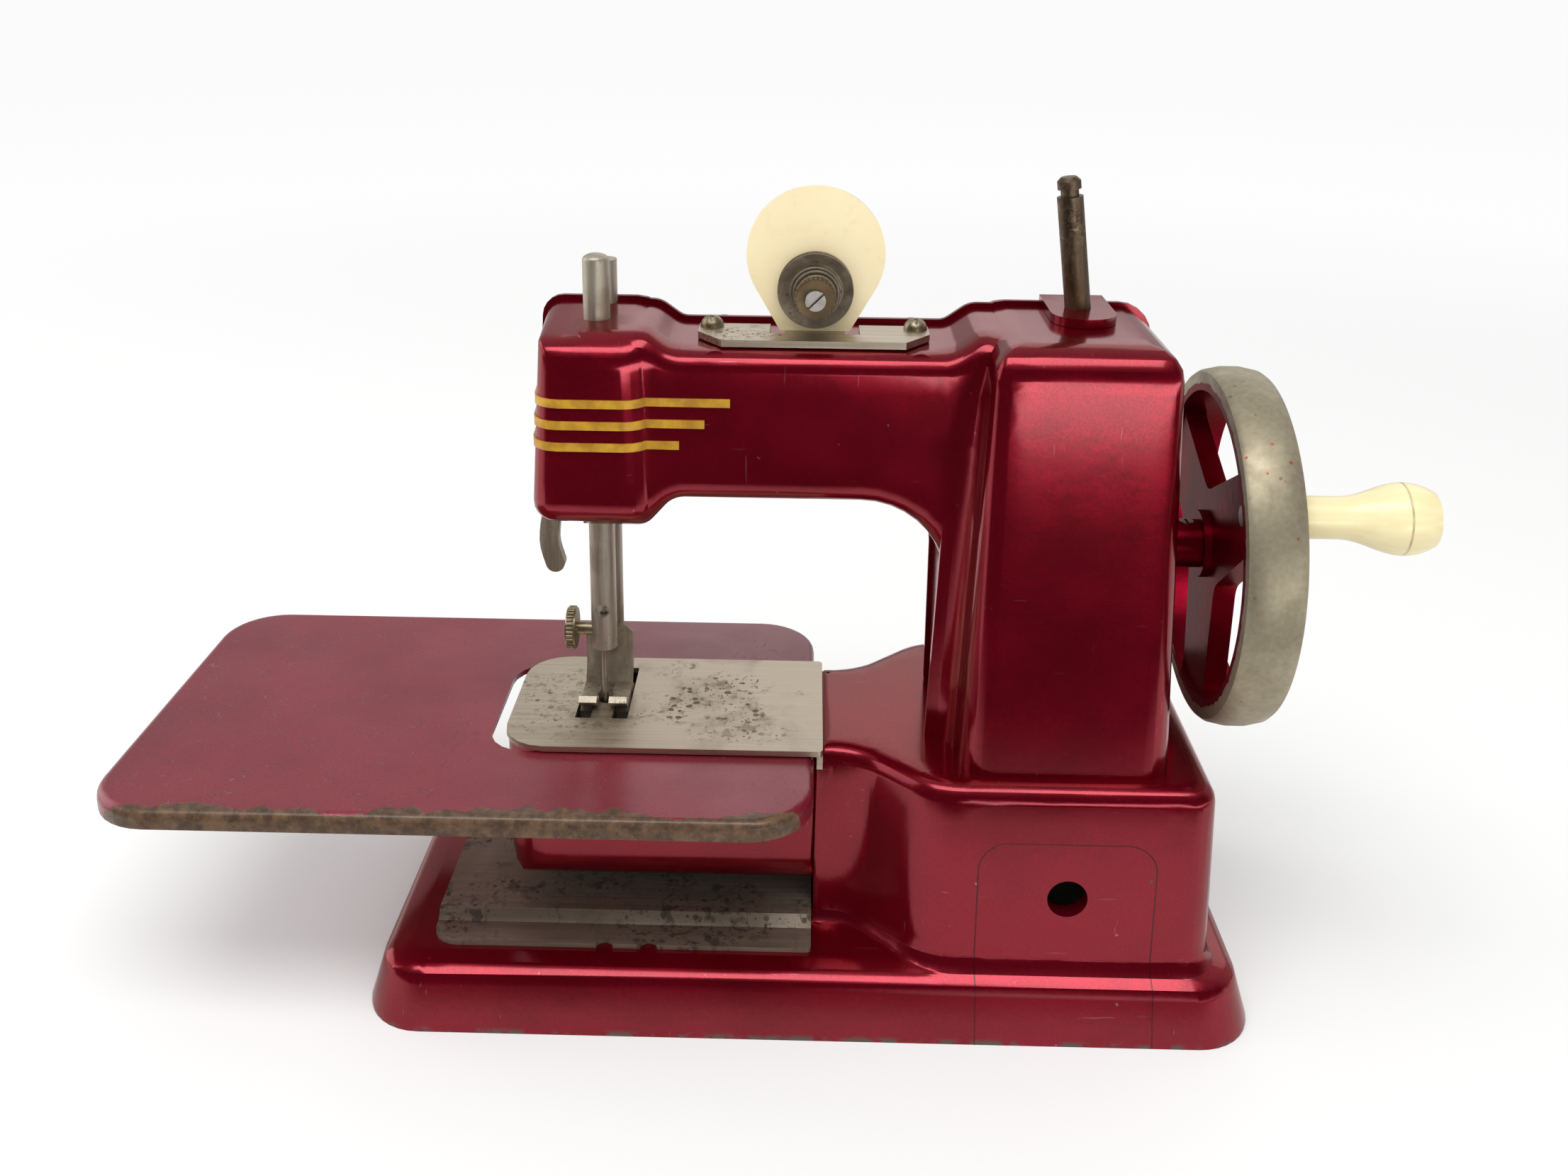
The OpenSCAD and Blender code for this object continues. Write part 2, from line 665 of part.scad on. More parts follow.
module cast_bores() {
    // Needle bar and presser bar
    rod_z(bar_d + 2 * run_fit, head_bottom - cut, head_top + 2 * cut, needle_x, 0);
    rod_z(bar_d + 2 * run_fit, head_bottom - cut, head_top + 2 * cut, needle_x, presser_y);
    // Rocker's pin, main bush, idler's pin and lifter's pin
    rod_y(rocker_pin_d + 2 * seat_fit, arm_front + cast_wall / 2, arm_back - cast_wall / 2,
        rocker_x, rocker_z);
    rod_x(shaft_d + 2 * bush_wall + 2 * seat_fit, bush_x[0] - cut, bush_x[1] + cut, 0, wheel_z);
    rod_x(looper_shaft_d + 2 * seat_fit, bush_x[0] - cut, pillar_right - cast_wall, 0, idler_z);
    rod_y(lifter_pin_d + 2 * seat_fit, seam_y - cut, head_back - cast_wall / 2, lifter_x, lifter_z);
    for (place = casing_screw_places)
        rod_y(screw_d + 2 * run_fit, seam_y - casing_screw_len, foot_depth, place[0], place[1], casing_fn);
    for (x = body_screw_x, y = [-body_screw_y, rear_screw_y])
        screw_hole_z(x, y, bed_top - cut, bed_top + body_screw_len, casing_fn);
}

module pillar_bosses(side) for (x = body_screw_x)
    rod_z(boss_d, bed_top, bed_top + body_screw_len, x, side > 0 ? -body_screw_y : rear_screw_y, casing_fn);

module front_casing() color(red) difference() {
    union() {
        difference() {
            front_masses();
            arm_hollow();
            pillar_hollow();
        }
        // Bosses for the rocker's pin, the main bush, the idler's pin and the screws
        rod_y(rocker_pin_d + 2 * boss_wall, arm_front + cut, arm_front + cast_wall + pin_boss_h,
            rocker_x, rocker_z);
        rod_x(shaft_d + 2 * bush_wall + 2 * boss_wall, bush_x[0], pillar_right - cast_wall, 0, wheel_z);
        rod_x(looper_shaft_d + 2 * boss_wall, bush_x[0], pillar_right - cast_wall, 0, idler_z);
        pillar_bosses(1);
        for (place = casing_screw_places)
            rod_y(screw_boss_d, casing_boss_y(place), seam_y, place[0], place[1], casing_fn);
    }
    cast_bores();
    spool_bore();
}

module rear_casing() color(red) difference() {
    union() {
        difference() {
            rear_masses();
            rear_hollow();
        }
        rod_y(rocker_pin_d + 2 * boss_wall, arm_back - cast_wall - pin_boss_h, arm_back - cut,
            rocker_x, rocker_z);
        rod_y(lifter_pin_d + 2 * boss_wall, lifter_y[1] + gap, head_back - cut, lifter_x, lifter_z);
        pillar_bosses(-1);
        // Lug for the spool pin, laid over the front casting
        translate([0, 0, pillar_top + gap / 4]) linear_extrude(lug_t) union() {
            translate([lug_x, lug_front + lug_w / 2]) circle(d = lug_w);
            translate([lug_x - lug_w / 2, lug_front + lug_w / 2])
                square([lug_w, seam_y + cast_wall - lug_front - lug_w / 2]);
        }
    }
    cast_bores();
    spool_bore();
    // Room for the idler's teeth in the floor of the pillar
    box([gear_x[0] - 2 * gap, gear_x[1] + 2 * gap], [seam_y - cut, seam_y + 2 * cast_wall],
        [bed_top - cut, bed_top + 2 * cast_wall]);
    // Slot for the presser lifter, in the head's lower left corner
    box([head_x_bottom[0] - 4 * cut, lifter_x], [lifter_y[0] - gap, lifter_y[1] + gap],
        [head_bottom - 2 * rear_lip, lifter_slot_top]);
    box(lifter_room_x, [seam_y - cut, lifter_y[1] + gap], lifter_room_z);
    // Sunk seats of the screw heads
    for (place = casing_screw_places)
        rod_y(screw_head_d + 2 * gap, casing_seat(place), foot_depth, place[0], place[1], casing_fn);
}

module casing_screws() color(steel) for (place = casing_screw_places) {
    seat = casing_seat(place);
    rod_y(screw_d, seam_y - casing_screw_len + cut, seat, place[0], place[1]);
    rod_y(screw_head_d, seat, seat + screw_head_t, place[0], place[1]);
}

module body_screws() color(steel) for (x = body_screw_x, y = [-body_screw_y, rear_screw_y]) {
    seat = bed_top - base_wall - boss_h;
    rod_z(screw_d, seat, bed_top + body_screw_len - cut, x, y);
    rod_z(screw_head_d, seat - screw_head_t, seat, x, y);
}

// Three raised lines on the head that run out over the arm, each a little shorter
stripe_w = 1.7;
stripe_proud = 0.35;
stripe_sunk = 0.2;
stripe_zs = [124.2, 119.8, 115.4];
stripe_ends = [-17, -22, -27];
stripe_back = 10;

// Edge of the head at height z, on its left or right side
function head_edge(z, side) = head_x_bottom[side]
    + (head_x_top[side] - head_x_bottom[side]) * (z - head_bottom) / (head_top - head_bottom);

// Path round the head's face and onto the arm's, held off the casting by proud
function stripe_path(z, end_x, proud) =
    let (
        drawn_in = head_drawn_in + head_fillet,
        left = [head_edge(z, 0) + drawn_in, head_front + head_fillet],
        right = [head_edge(z, 1) - drawn_in, head_front + head_fillet],
        reach = head_fillet + proud,
        last = asin((left[1] - arm_front) / head_fillet)
    )
    concat(
        [[left[0] - reach - head_draft_share * (stripe_back - left[1]), stripe_back]],
        [for (k = [0 : 4]) left - reach * [cos(22.5 * k), sin(22.5 * k)]],
        [for (k = [0 : 3]) let (a = 90 - (90 - last) * k / 3) right + reach * [cos(a), -sin(a)]],
        [[end_x, arm_front - proud]]);

module gold_stripes() color(gold) for (k = [0 : len(stripe_zs) - 1]) {
    inner = stripe_path(stripe_zs[k], stripe_ends[k], -stripe_sunk);
    translate([0, 0, stripe_zs[k] - stripe_w / 2]) linear_extrude(stripe_w)
        polygon(concat(stripe_path(stripe_zs[k], stripe_ends[k], stripe_proud),
            [for (i = [len(inner) - 1 : -1 : 0]) inner[i]]));
}

// Thread path: spool pin, tension unit and guide plate

spool_len = 28.5;
spool_groove_z = 24.6;
spool_groove_w = 1.5;
spool_groove_d = 3.6;
spool_head_d = 4.7;
spool_edge = 0.8;
tension_z = 144.7;
tension_x = -0.7;
bracket_x = [-24, 22.2];
bracket_y = [-9, 4.5];
bracket_t = 1.4;
bracket_chamfer = 5;
bracket_notch = 3;
lug_back_w = 12;
lug_back_y = 1;
lug_back_top = tension_z + 5;
guide_t = 1.5;
guide_z = 151.3;
guide_foot_w = 14;
stud_d = 4;
stud_front = -12.5;
washer_d = 15;
washer_t = 1.1;
washer_cup = 0.9;
nut_d = 7.4;
nut_t = 3;
nut_y = -11;
spring_wire = 0.7;
spring_turns = 2.5;
spring_rings = 8;
spring_sides = 6;
bracket_screw_inset = 2.6;
dome_d = 4.8;
slot_half = 0.3;
slot_deep = 1;
washer_land = 2;
washer_base = 0.3;
washer_seat = 0.01;
spring_inset = 2.6;

module spool_pin() color(dark_steel) translate([spool_x, spool_y, pillar_top]) rotate([0, -spool_lean, 0])
    rotate_extrude() polygon([[0, -spool_hole_depth], [spool_d / 2, -spool_hole_depth],
        [spool_d / 2, spool_groove_z], [spool_groove_d / 2, spool_groove_z],
        [spool_groove_d / 2, spool_groove_z + spool_groove_w],
        [spool_head_d / 2, spool_groove_z + spool_groove_w], [spool_head_d / 2, spool_len - spool_edge],
        [spool_head_d / 2 - spool_edge, spool_len], [0, spool_len]]);

module tension_bracket() color(steel) {
    mid = (bracket_y[0] + bracket_y[1]) / 2;
    difference() {
        translate([0, 0, arm_top]) linear_extrude(bracket_t) polygon([
            [bracket_x[0], mid], [bracket_x[0] + bracket_chamfer, bracket_y[0]],
            [bracket_x[1] - bracket_chamfer, bracket_y[0]], [bracket_x[1], mid],
            [bracket_x[1], bracket_y[1]], [bracket_x[0], bracket_y[1]]]);
        // Relief notches beside the upright lug
        for (side = [-1, 1])
            box([tension_x + side * (lug_back_w + bracket_notch) / 2 - bracket_notch / 2,
                tension_x + side * (lug_back_w + bracket_notch) / 2 + bracket_notch / 2],
                [-bracket_notch, bracket_y[1] + cut], [arm_top - cut, arm_top + bracket_t + cut]);
        for (x = bracket_screw_xs) screw_hole_z(x, bracket_screw_y, arm_top - cut, arm_top + bracket_t + cut);
    }
    // Upright lug that carries the tension stud
    difference() {
        box([tension_x - lug_back_w / 2, tension_x + lug_back_w / 2], [lug_back_y, lug_back_y + bracket_t],
            [arm_top, lug_back_top]);
        rod_y(stud_d, lug_back_y - cut, lug_back_y + bracket_t + cut, tension_x, tension_z);
    }
}

bracket_screw_xs = [bracket_x[0] + bracket_screw_inset, bracket_x[1] - bracket_screw_inset];
bracket_screw_y = bracket_y[1] - bracket_screw_inset;

module bracket_screws() color(brass) for (x = bracket_screw_xs) difference() {
    translate([x, bracket_screw_y, arm_top + bracket_t]) intersection() {
        sphere(d = dome_d);
        rod_z(screw_head_d, 0, screw_head_d, 0, 0);
    }
    box([x - slot_half, x + slot_half], [bracket_screw_y - screw_head_d, bracket_screw_y + screw_head_d],
        [arm_top + bracket_t + dome_d / 2 - slot_deep, arm_top + bracket_t + screw_head_d]);
}

// Pear-shaped plate behind the washers
module thread_guide() color(ivory) difference() {
    facing_front(lug_back_y) linear_extrude(guide_t) {
        r = guide_w / 2;
        z0 = arm_top + bracket_t;
        drop = guide_z - z0;
        lean = atan2(drop, r - guide_foot_w / 2) - acos(r / norm([drop, guide_foot_w / 2]));
        translate([tension_x, guide_z]) circle(r = r);
        polygon([[tension_x - guide_foot_w / 2, z0], [tension_x + guide_foot_w / 2, z0],
            [tension_x + r * cos(lean), guide_z - r * sin(lean)],
            [tension_x - r * cos(lean), guide_z - r * sin(lean)]]);
    }
    rod_y(stud_d + 2 * run_fit, lug_back_y - 2 * guide_t, lug_back_y + cut, tension_x, tension_z);
}

module tension_stud() color(steel) difference() {
    rod_y(stud_d, stud_front, lug_back_y + bracket_t, tension_x, tension_z);
    translate([tension_x, stud_front, tension_z]) rotate([0, -45, 0])
        box([-stud_d, stud_d], [-cut, slot_deep], [-slot_half, slot_half]);
}

guide_face = lug_back_y - guide_t;

// Two cupped washers, rim to rim, that pinch the thread
module tension_washers() color(dark_steel) for (flip = [0, 1])
    translate([tension_x, guide_face - washer_cup - washer_t, tension_z]) mirror([0, flip, 0])
        rotate([-90, 0, 0]) rotate_extrude() polygon([[stud_d / 2 + run_fit, washer_seat],
            [washer_d / 2 - washer_land, washer_seat], [washer_d / 2, washer_cup],
            [washer_d / 2, washer_cup + washer_t / 2],
            [washer_d / 2 - washer_land, washer_t / 2 + washer_base],
            [stud_d / 2 + run_fit, washer_t / 2 + washer_base]]);

spring_y = [nut_y + nut_t, guide_face - 2 * washer_cup - 1.5 * washer_t];

// Points along a coil: it winds along -Y from its wide end
function coil_point(t, r0, r1, y0, y1, turns) =
    let (r = r0 + (r1 - r0) * t, a = 360 * turns * t)
    [r * cos(a), y0 + (y1 - y0) * t, r * sin(a)];

// Round wire swept along points, with a ring of sides at each
module wire(points, d, sides) {
    n = len(points);
    rings = flat([for (i = [0 : n - 1])
        let (
            ahead = unit(points[min(i + 1, n - 1)] - points[max(i - 1, 0)]),
            side = unit(cross(ahead, [0, 1, 0])),
            up = cross(side, ahead)
        )
        [for (k = [0 : sides - 1])
            points[i] + d / 2 * (cos(360 * k / sides) * side + sin(360 * k / sides) * up)]]);
    skin = [for (i = [0 : n - 2]) for (k = [0 : sides - 1])
        let (a = i * sides + k, b = i * sides + (k + 1) % sides)
        each [[a, b + sides, a + sides], [a, b, b + sides]]];
    first = [for (k = [sides - 1 : -1 : 0]) k];
    end = [for (k = [0 : sides - 1]) (n - 1) * sides + k];
    polyhedron(rings, concat(skin, [first, end]), convexity = 8);
}

spring_points = [for (i = [0 : spring_turns * spring_rings])
    coil_point(i / (spring_turns * spring_rings), washer_d / 2 - spring_inset, nut_d / 2 - spring_wire / 2,
        spring_y[1] - spring_wire, spring_y[0] + spring_wire, spring_turns)];
spring_gap = min([for (i = [0 : len(spring_points) - 1 - spring_rings])
    norm(spring_points[i + spring_rings] - spring_points[i])]) - spring_wire;
echo(least_gap_of_tension_spring = spring_gap);

module tension_spring() color(dark_steel) translate([tension_x, 0, tension_z])
    wire(spring_points, spring_wire, spring_sides);

// Knurled nut with a ring of ridges
knurl_count = 28;
knurl_d = 0.7;
knurl_short = 0.3;

module tension_nut() color(brass) difference() {
    union() {
        rod_y(nut_d, nut_y, nut_y + nut_t, tension_x, tension_z);
        for (k = [0 : knurl_count - 1])
            rod_y(knurl_d, nut_y + knurl_short, nut_y + nut_t - knurl_short,
                tension_x + nut_d / 2 * cos(360 * k / knurl_count),
                tension_z + nut_d / 2 * sin(360 * k / knurl_count));
    }
    rod_y(stud_d + 2 * run_fit, nut_y - cut, nut_y + nut_t + cut, tension_x, tension_z);
}

// Drive: hand wheel, shaft and gears

rim_x0 = 80;
rim_t = 4.6;
rim_crown = 0.9;
rim_edge = 0.8;
rim_shoulder = 0.2;
crown_shares = [0.35, 0.65];
window_inner_corner = 5;
window_corner = 4;
hub_d = 10;
hub_end = 88;
hub_x = [bush_x[1] + gap, hub_end];
hub_boss_proud = 1.5;
hub_boss_d = 14;
web_disc_x = [81, 85.5];
window_inner_r = 11.5;
window_angle = 47;
spoke_angles = [33, 153, 273];
handle_r = 28;
handle_angle = spoke_angles[0];
handle_y = -handle_r * cos(handle_angle);
handle_z = wheel_z + handle_r * sin(handle_angle);
handle_boss_d = 10;
handle_boss_end = rim_x0 + rim_w;
handle_neck_d = 8.2;
handle_pin_d = 4;
pin_head_d = 6.5;
pin_head_t = 1.4;
wheel_screw_x = 77;
wheel_screw_d = 3;
gear_x = [54, 60];
crank_x = [48.5, 51.5];
crank_r = 8;
crank_disc_d = 24;
crank_pin_d = 4;
crank_pin_end = 46.5;
backlash = 0.3;
pressure = 20;
addendum_share = 0.9;
dedendum_share = 1.2;
flank_steps = 3;

// Window between two spokes, in polar corners about the axis
module window(angle) {
    inner = window_inner_r * [cos(angle), sin(angle)];
    outer_r = wheel_r - rim_t / 2;
    a = outer_r * [cos(angle - window_angle), sin(angle - window_angle)];
    b = outer_r * [cos(angle + window_angle), sin(angle + window_angle)];
    tip = 1.5 * outer_r * [cos(angle), sin(angle)];
    polygon(outline([[inner[0], inner[1], window_inner_corner], [a[0], a[1], window_corner],
        [tip[0], tip[1], window_corner], [b[0], b[1], window_corner]]));
}

module hand_wheel() color(zinc) difference() {
    union() {
        // Crowned rim
        turned_x([[rim_x0, wheel_r - rim_t], [rim_x0, wheel_r - rim_edge],
            [rim_x0 + rim_edge, wheel_r - rim_shoulder],
            for (share = crown_shares) [rim_x0 + rim_w * share, wheel_r + rim_crown / 2],
            [rim_x0 + rim_w - rim_edge, wheel_r - rim_shoulder], [rim_x0 + rim_w, wheel_r - rim_edge],
            [rim_x0 + rim_w, wheel_r - rim_t]], 0, wheel_z);
        // Web with three windows
        difference() {
            rod_x(2 * wheel_r - rim_t, web_disc_x[0], web_disc_x[1], 0, wheel_z);
            for (angle = spoke_angles)
                translate([web_disc_x[0] - cut, 0, wheel_z]) rotate([90, 0, 90]) mirror([1, 0, 0])
                    linear_extrude(web_disc_x[1] - web_disc_x[0] + 2 * cut) window(angle + 60);
        }
        rod_x(hub_d, hub_x[0], hub_x[1], 0, wheel_z);
        rod_x(hub_boss_d, web_disc_x[0] - hub_boss_proud, web_disc_x[1] + hub_boss_proud, 0, wheel_z);
        rod_x(handle_boss_d, web_disc_x[0], handle_boss_end, handle_y, handle_z);
    }
    rod_x(shaft_d, hub_x[0] - cut, hub_x[1] + cut, 0, wheel_z);
    rod_x(handle_pin_d, web_disc_x[0] - cut, handle_boss_end + cut, handle_y, handle_z);
    rod_z(wheel_screw_d, wheel_z, wheel_z + hub_d, wheel_screw_x, 0);
}

module wheel_screw() color(steel) difference() {
    rod_z(wheel_screw_d, wheel_z + shaft_r, wheel_z + hub_d / 2, wheel_screw_x, 0);
    box([wheel_screw_x - slot_half, wheel_screw_x + slot_half], [-wheel_screw_d, wheel_screw_d],
        [wheel_z + hub_d / 2 - slot_deep, wheel_z + hub_d]);
}

module main_shaft() color(steel) rod_x(shaft_d, crank_x[0], hub_x[1], 0, wheel_z);

module shaft_bush() color(brass) difference() {
    rod_x(shaft_d + 2 * bush_wall, bush_x[0], bush_x[1], 0, wheel_z);
    rod_x(shaft_d + 2 * run_fit, bush_x[0] - cut, bush_x[1] + cut, 0, wheel_z);
}

// Involute gear outline: flanks from the base circle to the tip, with backlash taken off each tooth
function flank_angle(t) = t - atan(t * PI / 180);
function tooth_points(teeth, index) =
    let (
        r = gear_module * teeth / 2,
        base = r * cos(pressure),
        tip = r + addendum_share * gear_module,
        root = r - dedendum_share * gear_module,
        half = 90 / teeth - backlash / (4 * r) * 180 / PI,
        start = half + flank_angle(tan(pressure) * 180 / PI),
        reach = sqrt(pow(tip / base, 2) - 1) * 180 / PI,
        turns = [for (k = [0 : flank_steps]) reach * k / flank_steps],
        radii = [for (t = turns) base * sqrt(1 + pow(t * PI / 180, 2))],
        middle = 360 * index / teeth
    )
    concat(
        [root * [cos(middle - start), sin(middle - start)]],
        [for (k = [0 : flank_steps]) let (a = middle - start + flank_angle(turns[k]))
            radii[k] * [cos(a), sin(a)]],
        [for (k = [flank_steps : -1 : 0]) let (a = middle + start - flank_angle(turns[k]))
            radii[k] * [cos(a), sin(a)]],
        [root * [cos(middle + start), sin(middle + start)]]);

// Gear about an axis along X, turned by angle from a tooth that points up
module gear(teeth, bore, z, angle) translate([gear_x[0], 0, z]) rotate([90, 0, 90]) rotate([0, 0, 90 + angle])
    difference() {
        linear_extrude(gear_x[1] - gear_x[0])
            polygon(flat([for (i = [0 : teeth - 1]) tooth_points(teeth, i)]));
        translate([0, 0, -cut]) cylinder(h = gear_x[1] - gear_x[0] + 2 * cut, d = bore);
    }

module drive_gear() color(brass) gear(gear_teeth, shaft_d, wheel_z, 180 / gear_teeth);

module idler_gear() color(brass) gear(idler_teeth, looper_shaft_d + 2 * run_fit, idler_z, 0);

module looper_gear() color(brass) gear(gear_teeth, looper_shaft_d, looper_z, 180 / gear_teeth);

module idler_pin() color(steel) {
    rod_x(looper_shaft_d, gear_x[0], pillar_right - cast_wall, 0, idler_z);
    rod_x(looper_shaft_d + 2 * boss_wall, gear_x[0] - gap - pin_head_t, gear_x[0] - gap, 0, idler_z);
    rod_x(looper_shaft_d, gear_x[0] - gap, gear_x[0], 0, idler_z);
}

// Crank on the shaft's inner end, its pin turned level with the shaft at rest
module crank_disc() color(steel) {
    difference() {
        rod_x(crank_disc_d, crank_x[0], crank_x[1], 0, wheel_z);
        rod_x(shaft_d, crank_x[0] - cut, crank_x[1] + cut, 0, wheel_z);
    }
    rod_x(crank_pin_d, crank_pin_end, crank_x[0], -crank_r, wheel_z);
}

handle_x0 = handle_boss_end + gap;
handle_neck_share = 0.3;
handle_bulb_share = 0.78;
handle_tip_share = 0.55;
handle_end = handle_x0 + handle_len;
pin_sunk = 0.2;

module crank_handle() color(ivory) difference() {
    r = handle_d / 2;
    neck = handle_neck_d / 2;
    turned_x([[handle_x0, 0], [handle_x0, neck], [handle_x0 + handle_len * handle_neck_share, neck],
        for (t = [0 : 0.125 : 1])
            [handle_x0 + handle_len * (handle_neck_share + (handle_bulb_share - handle_neck_share) * t),
                neck + (r - neck) * (1 - cos(180 * t)) / 2],
        for (t = [0 : 0.2 : 1])
            [handle_x0 + handle_len * (handle_bulb_share + (1 - handle_bulb_share) * t),
                r - (r - neck) * handle_tip_share * t * t],
        [handle_end, 0]], handle_y, handle_z);
    rod_x(handle_pin_d + 2 * run_fit, handle_x0 - cut, handle_end + cut, handle_y, handle_z);
    rod_x(pin_head_d + 2 * gap, handle_end - pin_head_t - gap, handle_end + cut, handle_y, handle_z);
}

module handle_pin() color(steel) {
    rod_x(handle_pin_d, web_disc_x[0], handle_end - pin_head_t, handle_y, handle_z);
    rod_x(pin_head_d, handle_end - pin_head_t, handle_end - pin_sunk, handle_y, handle_z);
}

// Needle drive: rocker beam, needle bar and needle

beam_y = [3.2, 6.2];
beam_hub_d = 11;
beam_end_w = 8;
stud_z_d = 3;
leg_x = 38;
leg_w = 5;
yoke_h = 9;
yoke_w = 19;
yoke_slot_w = 16;
needle_bar_z = [65.5, 151];
needle_len = 20;
needle_seat = 8;
eye_z = 74.6;
eye_d = 3;
clamp_screw_z = 69.5;
clamp_screw_d = 2.8;
thumb_x = [-52.3, -50.3];
thumb_d = 8.6;
thumb_knurls = 32;

module rocker_beam() color(dark_steel) difference() {
    union() {
        facing_front(beam_y[1]) linear_extrude(beam_y[1] - beam_y[0]) difference() {
            union() {
                translate([rocker_x, rocker_z]) circle(d = beam_hub_d);
                polygon([[needle_x - beam_end_w / 2, rocker_z - beam_end_w / 2],
                    [rocker_x, rocker_z - beam_hub_d / 2], [leg_x - leg_w / 2, rocker_z - leg_w],
                    [leg_x - leg_w / 2, wheel_z - yoke_h / 2], [leg_x + leg_w / 2, wheel_z - yoke_h / 2],
                    [leg_x + leg_w / 2, rocker_z + beam_end_w / 4], [rocker_x, rocker_z + beam_hub_d / 2],
                    [needle_x - beam_end_w / 2, rocker_z + beam_end_w / 2]]);
            }
            // Slot for the needle bar's stud
            translate([needle_x - beam_end_w, rocker_z - stud_z_d / 2 - gap])
                square([1.5 * beam_end_w, stud_z_d + 2 * gap]);
        }
        // Yoke for the crank pin
        box([leg_x - leg_w / 2, leg_x + leg_w / 2], [-yoke_w / 2, yoke_w / 2],
            [wheel_z - yoke_h / 2, wheel_z + yoke_h / 2]);
    }
    rod_y(rocker_pin_d + 2 * run_fit, beam_y[0] - cut, beam_y[1] + cut, rocker_x, rocker_z);
    box([leg_x - leg_w, leg_x + leg_w], [-yoke_slot_w / 2, yoke_slot_w / 2],
        [wheel_z - crank_pin_d / 2 - gap, wheel_z + crank_pin_d / 2 + gap]);
}

// Pin with a collar on each side of the beam
module rocker_pin() color(steel) {
    rod_y(rocker_pin_d, arm_front + cast_wall / 2, arm_back - cast_wall / 2, rocker_x, rocker_z);
    for (y = [beam_y[0] - gap - pin_head_t, beam_y[1] + gap])
        rod_y(rocker_pin_d + 2 * boss_wall, y, y + pin_head_t, rocker_x, rocker_z);
}

module needle_bar() color(steel) difference() {
    union() {
        rod_z(bar_d, needle_bar_z[0], needle_bar_z[1] - bar_r / 2, needle_x, 0);
        // Domed top
        translate([needle_x, 0, needle_bar_z[1] - bar_r / 2]) rotate_extrude()
            polygon([[0, -cut], [bar_r, -cut], for (t = [0 : 15 : 90]) [bar_r * cos(t), bar_r / 2 * sin(t)]]);
        rod_y(stud_z_d, 0, beam_y[1], needle_x, rocker_z);
    }
    rod_y(eye_d, -bar_d, bar_d, needle_x, eye_z);
    rod_z(needle_d, needle_bar_z[0] - cut, needle_bar_z[0] + needle_seat, needle_x, 0);
    rod_x(clamp_screw_d + 2 * run_fit, needle_x - bar_d, needle_x - needle_d / 2, 0, clamp_screw_z);
}

module needle_screw() color(brass) {
    rod_x(clamp_screw_d, thumb_x[1], needle_x - needle_d / 2 - run_fit, 0, clamp_screw_z);
    rod_x(thumb_d, thumb_x[0], thumb_x[1], 0, clamp_screw_z);
    for (k = [0 : thumb_knurls - 1])
        rod_x(knurl_d, thumb_x[0] + knurl_short, thumb_x[1] - knurl_short,
            thumb_d / 2 * cos(360 * k / thumb_knurls),
            clamp_screw_z + thumb_d / 2 * sin(360 * k / thumb_knurls));
}

module needle() color(steel) translate([needle_x, 0, needle_bar_z[0] - needle_len]) rotate_extrude()
    polygon([[0, 0], [needle_d / 2, 4 * needle_d], [needle_d / 2, needle_len + needle_seat],
        [0, needle_len + needle_seat]]);

// Presser: bar, collar, foot, spring and lifter

presser_z = [58, 147.5];
collar_rise = 6;
collar_h = 6;
collar_z = [lifter_z + collar_rise, lifter_z + collar_rise + collar_h];
collar_d = 9.5;
sheet_t = 1;
foot_plate_y = presser_y - bar_r - sheet_t;
foot_top_z = 66.5;
foot_heel_z = 56.5;
heel_run = 2;
sole_z = bed_top + gap;
toe_y = -4;
toe_rise = 1.8;
foot_chamfer = 2.2;
toe_gap = 2.6;
needle_eye_d = 3.6;
presser_screw_head_d = 4.2;
presser_screw_z = 62;
presser_screw_d = 2.5;
lifter_base_r = 4;
lifter_lobe = 5;
lifter_swing = 60;
finger_w = 4.2;
finger_knots = [[lifter_x - lifter_base_r, lifter_z], [-53, 97], [-57.3, 90.5], [-58.6, 83], [-57.4, 77.5]];
finger_steps = 4;

// Point on the smooth curve through q and r, with p before and s after them
function between(p, q, r, s, t) =
    (2 * q + (r - p) * t + (2 * p - 5 * q + 4 * r - s) * t * t + (3 * q - p - 3 * r + s) * t * t * t) / 2;
function smooth_path(knots, n) =
    let (last = len(knots) - 1)
    [for (i = [0 : last - 1]) for (k = [i == 0 ? 0 : 1 : n])
        between(knots[max(i - 1, 0)], knots[i], knots[i + 1], knots[min(i + 2, last)], k / n)];
presser_coils = 9;

module presser_bar() color(steel) difference() {
    rod_z(bar_d, presser_z[0], presser_z[1], needle_x, presser_y);
    rod_y(presser_screw_d, presser_y - bar_d, presser_y, needle_x, presser_screw_z);
}

module presser_collar() color(dark_steel) difference() {
    box([needle_x - collar_d / 2, needle_x + collar_d / 2], [presser_y - collar_d / 2, lifter_y[1]],
        collar_z);
    rod_z(bar_d, collar_z[0] - cut, collar_z[1] + cut, needle_x, presser_y);
}

